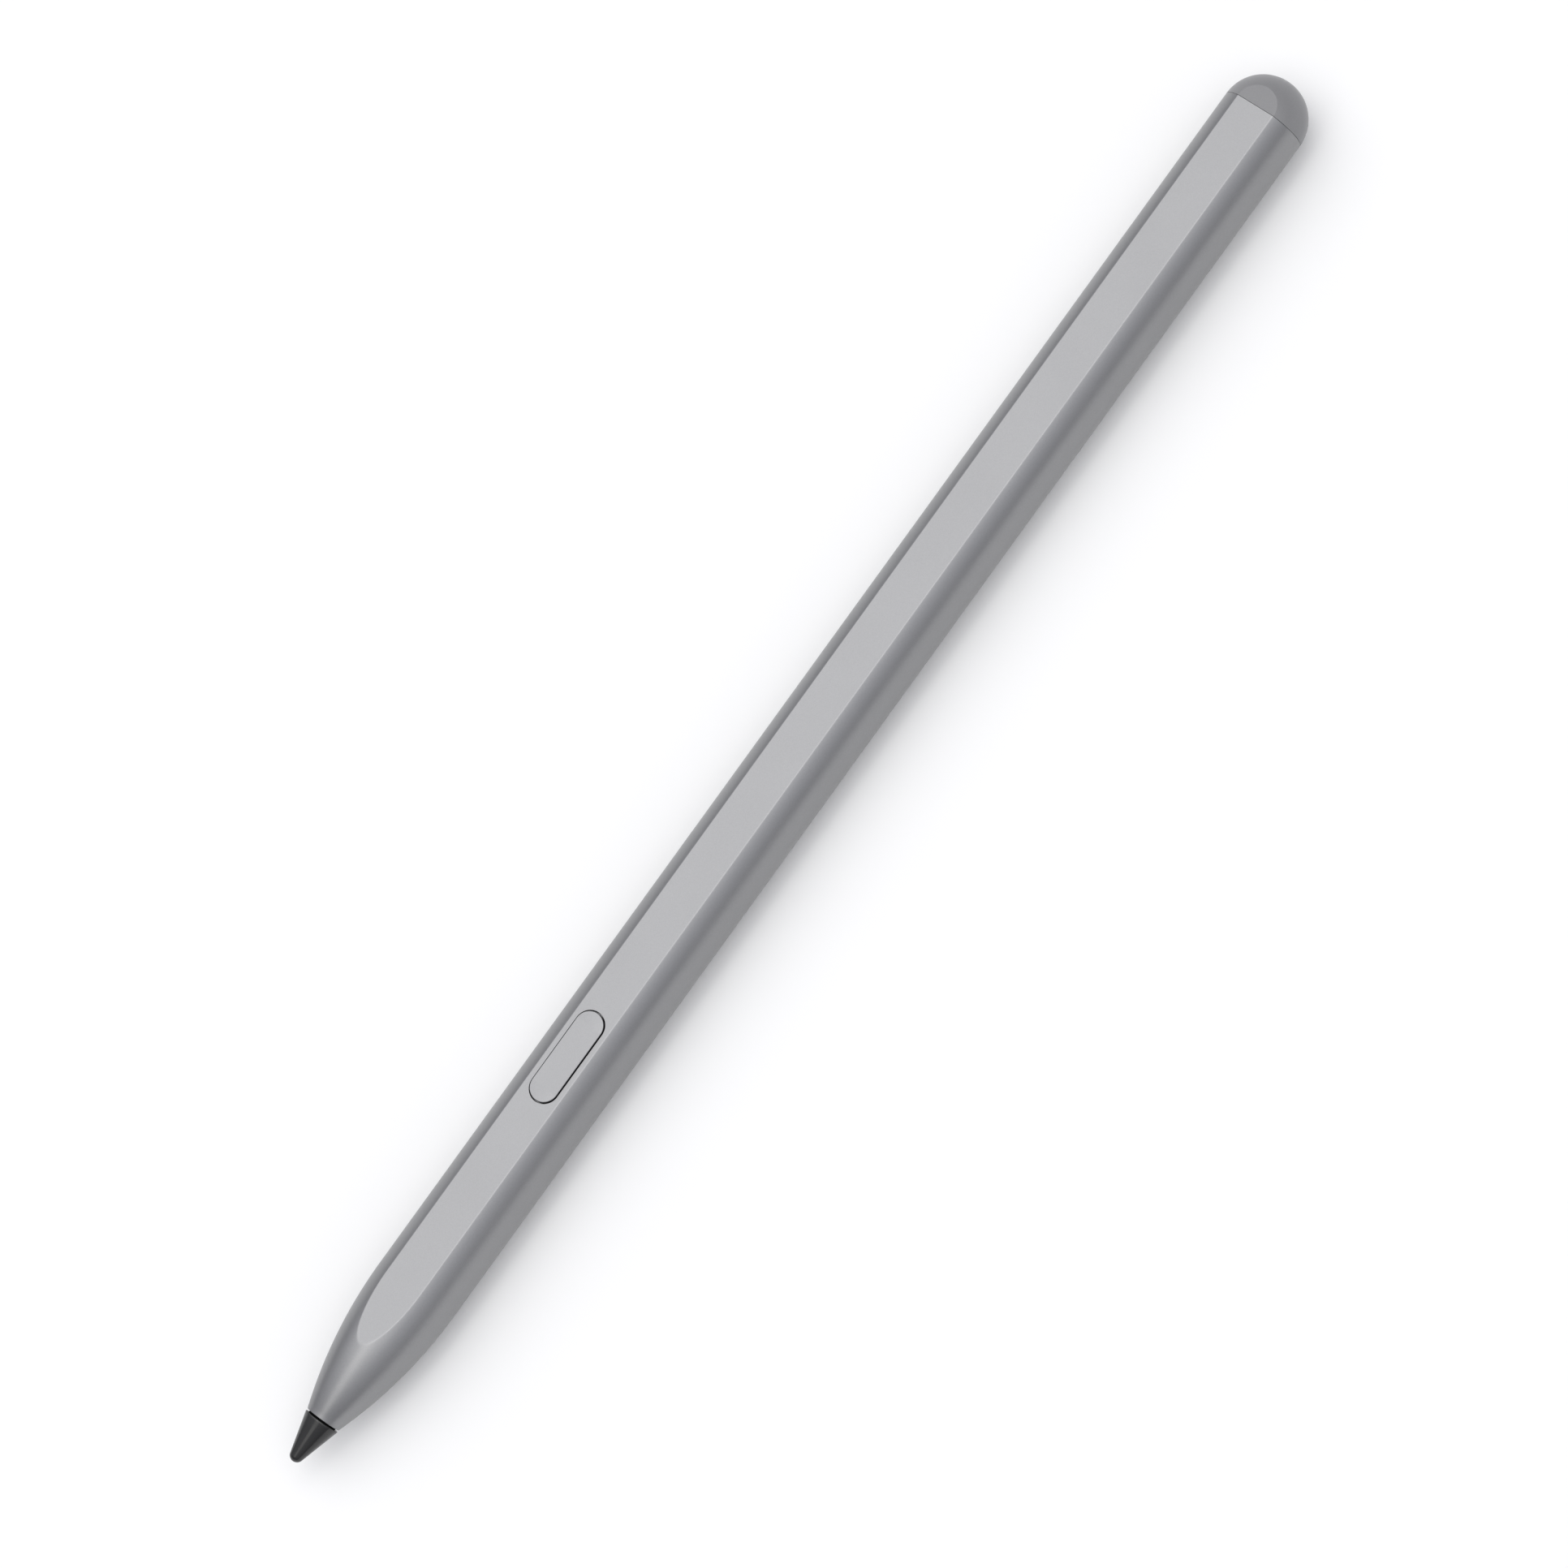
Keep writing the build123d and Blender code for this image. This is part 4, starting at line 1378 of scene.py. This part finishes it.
@dataclass
class TipMechanism(SubAssembly):
    """What carries the nib: holder, bush, tilt electrode, pressure sensor and return spring."""

    form: PenForm
    spring_turns: float = 5.0
    steps_per_turn: float = 36.0
    spring_wire: float = 0.28 * MM
    wire_sides: int = 14
    closing: float = 0.45
    press_travel: float = 0.13 * MM
    finishes: ClassVar[Mapping[str, Finish]] = {
        "nib_holder": TURNED_BRASS,
        "force_plate": PLATED_STRIP,
        "force_sensor": GLAZED_CERAMIC,
        "guide_bush": ACETAL,
        "tilt_electrode": BARE_COPPER,
    }

    def build(self) -> None:
        """Winds the return spring."""
        span = Span.of("return_spring")
        sizes = {
            "Turns": self.spring_turns,
            "Steps": self.steps_per_turn,
            "Coil Radius": (span.size.y - self.spring_wire) / 2,
            "Wire Radius": self.spring_wire / 2,
            "Wire Sides": self.wire_sides,
            "Start": span.low.x + self.spring_wire / 2,
            "Length": span.size.x - self.spring_wire,
            "Closing": self.closing,
            "Axis Height": self.form.axis,
        }
        mesh = grown(coil_spring(), bpy.data.meshes.new("path"), SPRING_STEEL, sizes)
        spring = put("return_coil", mesh, Body.HOUSING, SPRING_STEEL, "return_spring")
        keep = 1.0 - self.press_travel / span.size.x
        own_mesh(spring)


@dataclass
class ControlBoard(SubAssembly):
    """Front frame with the circuit board, its chips, screws and strips, and the button's switch."""

    columns: int = 5
    chip_length: float = 1.0 * MM
    chip_width: float = 0.5 * MM
    chip_edge: float = 0.03 * MM
    cap_length: float = 0.22 * MM
    cap_proud: float = 0.015 * MM
    finishes: ClassVar[Mapping[str, Finish]] = {
        "front_frame": GLASS_FILLED,
        "main_board": BOARD_MASK,
        "processor_chip": CHIP_RESIN,
        "radio_chip": CHIP_RESIN,
        "crystal_can": PLATED_CAN,
        "board_screws": SPRING_STEEL,
        "sensor_flex": AMBER_FILM,
        "power_flex": AMBER_FILM,
        "button_switch": SWITCH_PLASTIC,
    }

    def places(self) -> list[Vector]:
        """Lists where the capacitors stand.

        Returns:
            Their middles, in two rows.
        """
        span = Span.of("board_capacitors")
        rows = (span.low.y + self.chip_width / 2, span.high.y - self.chip_width / 2)
        first = span.low.x + self.chip_length / 2
        last = span.high.x - self.chip_length / 2
        stations = steps(first, last, self.columns - 1)
        return [Vector((x, y, span.middle.z)) for x in stations for y in rows]

    def scatter(self, shape: Mesh, finish: Finish) -> Mesh:
        """Sets a copy of a shape at each capacitor's place.

        Args:
            shape: The shape, about its own middle.
            finish: What the copies are dressed in.

        Returns:
            All the copies as one mesh.
        """
        points = bpy.data.meshes.new("places")
        points.from_pydata(self.places(), [], [])
        piece = bpy.data.objects.new("piece", shape)
        mesh = grown(scattered(), points, finish, {"Piece": piece})
        bpy.data.objects.remove(piece)
        return mesh

    def build(self) -> None:
        """Builds the chip capacitors as ceramic bodies between tinned end caps."""
        height = Span.of("board_capacitors").size.z
        inner_length = self.chip_length - self.cap_length
        sunk = 2 * self.cap_proud
        core = Vector((inner_length, self.chip_width - sunk, height - sunk))
        bodies = self.scatter(soft_block(core, self.chip_edge), CERAMIC_CHIP)
        put("capacitor_bodies", bodies, Body.HOUSING, CERAMIC_CHIP, "board_capacitors")
        cap = Vector((self.cap_length, self.chip_width, height))
        for name, station in (("front", -inner_length / 2), ("rear", inner_length / 2)):
            caps = self.scatter(soft_block(cap, self.chip_edge, station), PLATED_STRIP)
            put(f"capacitor_caps_{name}", caps, Body.HOUSING, PLATED_STRIP)


@dataclass
class ChargingDock(SubAssembly):
    """Carrier under the flat with its magnets and the charging coil on its ferrite."""

    turns: float = 6.0
    steps_per_turn: float = 48.0
    layers: int = 4
    band: float = 0.95 * MM
    wire_share: float = 0.48
    wire_sides: int = 7
    finishes: ClassVar[Mapping[str, Finish]] = {
        "dock_carrier": GLASS_FILLED,
        "dock_magnets": NICKEL_PLATE,
        "coil_ferrite": SINTERED_FERRITE,
    }

    def build(self) -> None:
        """Winds the charging coil in layers."""
        span = Span.of("charging_coil")
        pitch = self.band / (self.turns + 1)
        rise = span.size.z / self.layers
        sizes = {
            "Turns": self.turns,
            "Steps": self.steps_per_turn,
            "Layers": self.layers,
            "Layer Rise": rise,
            "Half Straight": (span.size.x - span.size.y) / 2,
            "Inner Radius": span.size.y / 2 - self.band + pitch / 2,
            "Pitch": pitch,
            "Wire Radius": min(pitch, rise) * self.wire_share,
            "Wire Sides": self.wire_sides,
            "Station": span.middle.x,
            "Base Height": span.low.z + rise / 2,
        }
        mesh = grown(flat_winding(), bpy.data.meshes.new("path"), BARE_COPPER, sizes)
        put("coil_winding", mesh, Body.HOUSING, BARE_COPPER, "charging_coil")


@dataclass
class PowerTail(SubAssembly):
    """Battery in its tray, its tabs, and the antenna that reaches into the cap."""

    finishes: ClassVar[Mapping[str, Finish]] = {
        "battery_tray": GLASS_FILLED,
        "battery_cell": DRAWN_CAN,
        "cell_header": SWITCH_PLASTIC,
        "battery_tabs": PLATED_STRIP,
        "end_pad": SILICONE,
        "antenna_board": BOARD_MASK,
        "antenna_chip": GLAZED_CERAMIC,
    }


# Studio


@dataclass(frozen=True)
class Softbox:
    """A soft lamp that faces straight down."""

    name: str
    place: tuple[float, float, float]
    length: float
    width: float
    radiance: float

    def hang(self, tint: Colour) -> None:
        """Hangs the lamp at its place.

        Args:
            tint: Colour of its light.
        """
        lamp = bpy.data.lights.new(self.name, "AREA")
        lamp.shape = "RECTANGLE"
        lamp.size, lamp.size_y = self.length, self.width
        lamp.energy = self.radiance * math.pi * self.length * self.width
        lamp.color = tint
        linked(self.name, lamp).location = self.place


@dataclass
class Studio:
    """Pale floor, soft overhead light and a camera at the photograph's viewpoint.

    The camera stands off the pen's middle. Its line of sight is turned from the flat's normal
    towards -Y, and leaned towards the nib. In the picture the pen leans up to the right.
    """

    form: PenForm
    picture_px: float = 1932.0
    pixels_per_metre: float = 12640.0
    distance: float = 0.58
    sensor_mm: float = 36.0
    nearest: float = 0.01
    farthest: float = 100.0
    turn: float = math.radians(21.4)
    nib_lean: float = math.radians(3.02)
    pen_lean: float = math.radians(54.12)
    right_px: float = 13.3
    up_px: float = 20.8
    floor_radius: float = 4.0
    floor_sides: int = 96
    floor_tone: float = 0.81
    floor_glow: float = 0.07
    horizon: float = 0.15
    zenith: float = 1.3
    sky_curve: float = 0.55
    end_dimming: float = 1.0
    least_light: float = 0.44
    sky_tint: Colour = (0.977, 0.985, 1.035)
    lamp_tint: Colour = (1.02, 1.005, 0.945)
    lamps: tuple[Softbox, ...] = (
        Softbox("overhead_softbox", (0.07, 0.16, 0.6), 0.81, 1.25, 0.58),
        Softbox("strip_light", (0.08, 0.03, 0.62), 0.76, 0.1, 1.3),
        Softbox("nib_light", (-0.55, 0.0, 0.62), 0.5, 0.3, 0.75),
    )

    def camera(self) -> None:
        """Stands the camera where the photograph was taken."""
        along = Vector((1, 0, 0))
        normal = Vector((0, -math.sin(self.turn), math.cos(self.turn)))
        across = Vector((0, -math.cos(self.turn), -math.sin(self.turn)))
        back = normal * math.cos(self.nib_lean) - along * math.sin(self.nib_lean)
        axis = along * math.cos(self.nib_lean) + normal * math.sin(self.nib_lean)
        right = axis * math.cos(self.pen_lean) + across * math.sin(self.pen_lean)
        up = axis * math.sin(self.pen_lean) - across * math.cos(self.pen_lean)
        middle = Vector((0, 0, self.form.axis))
        offset = (right * self.right_px + up * self.up_px) / self.pixels_per_metre
        lens = bpy.data.cameras.new("view")
        lens.sensor_width = self.sensor_mm
        lens.lens = self.sensor_mm * self.distance * self.pixels_per_metre / self.picture_px
        lens.clip_start = self.nearest
        lens.clip_end = self.farthest
        camera = linked("view", lens)
        turned = Matrix((right, up, back)).transposed().to_4x4()
        camera.matrix_world = Matrix.Translation(middle + back * self.distance - offset) @ turned
        bpy.context.scene.camera = camera

    def paper(self) -> Material:
        """Makes the floor's material, which looks near white and keeps the pen's shadow.

        Returns:
            The material.
        """
        material = bpy.data.materials.new("floor_paper")
        material.use_nodes = True
        graph = Graph(material.node_tree)
        light_path = graph.node("ShaderNodeLightPath", {})
        seen = Field(graph, light_path.outputs["Is Camera Ray"])
        for name in ("Is Glossy Ray", "Is Transmission Ray"):
            seen = seen.math("MAXIMUM", Field(graph, light_path.outputs[name]))
        paper = graph.add("ShaderNodeBsdfDiffuse", (self.floor_tone,) * 3)
        glow = graph.add("ShaderNodeEmission", (1.0, 1.0, 1.0), seen * self.floor_glow)
        surface = graph.add("ShaderNodeAddShader", paper, glow)
        graph.node("ShaderNodeOutputMaterial", {"Surface": surface})
        return material

    def floor(self) -> None:
        """Lays the floor."""
        form = bmesh.new()
        bmesh.ops.create_circle(
            form, cap_ends=True, radius=self.floor_radius, segments=self.floor_sides
        )
        mesh = finished(form, "floor")
        mesh.materials.append(self.paper())
        linked("floor", mesh)

    def sky(self) -> None:
        """Makes the room: dim at the horizon and beyond the pen's ends, brighter overhead."""
        world = bpy.data.worlds.new("studio")
        world.use_nodes = True
        graph = Graph(world.node_tree)
        along, _, rise = graph.parts(graph.add("ShaderNodeTexCoord", out="Generated"))
        height = rise.math("MAXIMUM", 0.0) ** self.sky_curve
        light = graph.add("ShaderNodeMapRange", height, 0.0, 1.0, self.horizon, self.zenith)
        dimmed = light * (1.0 - along**2.0 * self.end_dimming)
        strength = dimmed.math("MAXIMUM", self.least_light)
        room = graph.add("ShaderNodeBackground", self.sky_tint, strength)
        graph.node("ShaderNodeOutputWorld", {"Surface": room})
        bpy.context.scene.world = world

    def build(self) -> None:
        """Sets up the camera, the floor, the room and the lamps."""
        bpy.context.scene.view_settings.view_transform = "Standard"
        self.camera()
        self.floor()
        self.sky()
        for lamp in self.lamps:
            lamp.hang(self.lamp_tint)


def main() -> None:
    """Builds the pen piece by piece, then the studio round it."""
    logging.basicConfig(level=logging.INFO, format="%(name)s %(message)s")
    form = PenForm.from_frame()
    key = SideKey()
    assemblies = (
        Barrel(form, key.slot),
        TailCap(form),
        key,
        WritingNib(form),
        TipMechanism(form),
        ControlBoard(),
        ChargingDock(),
        PowerTail(),
    )
    for assembly in assemblies:
        assembly.build()
        assembly.dress()
    Studio(form).build()


if __name__ == "__main__":
    main()
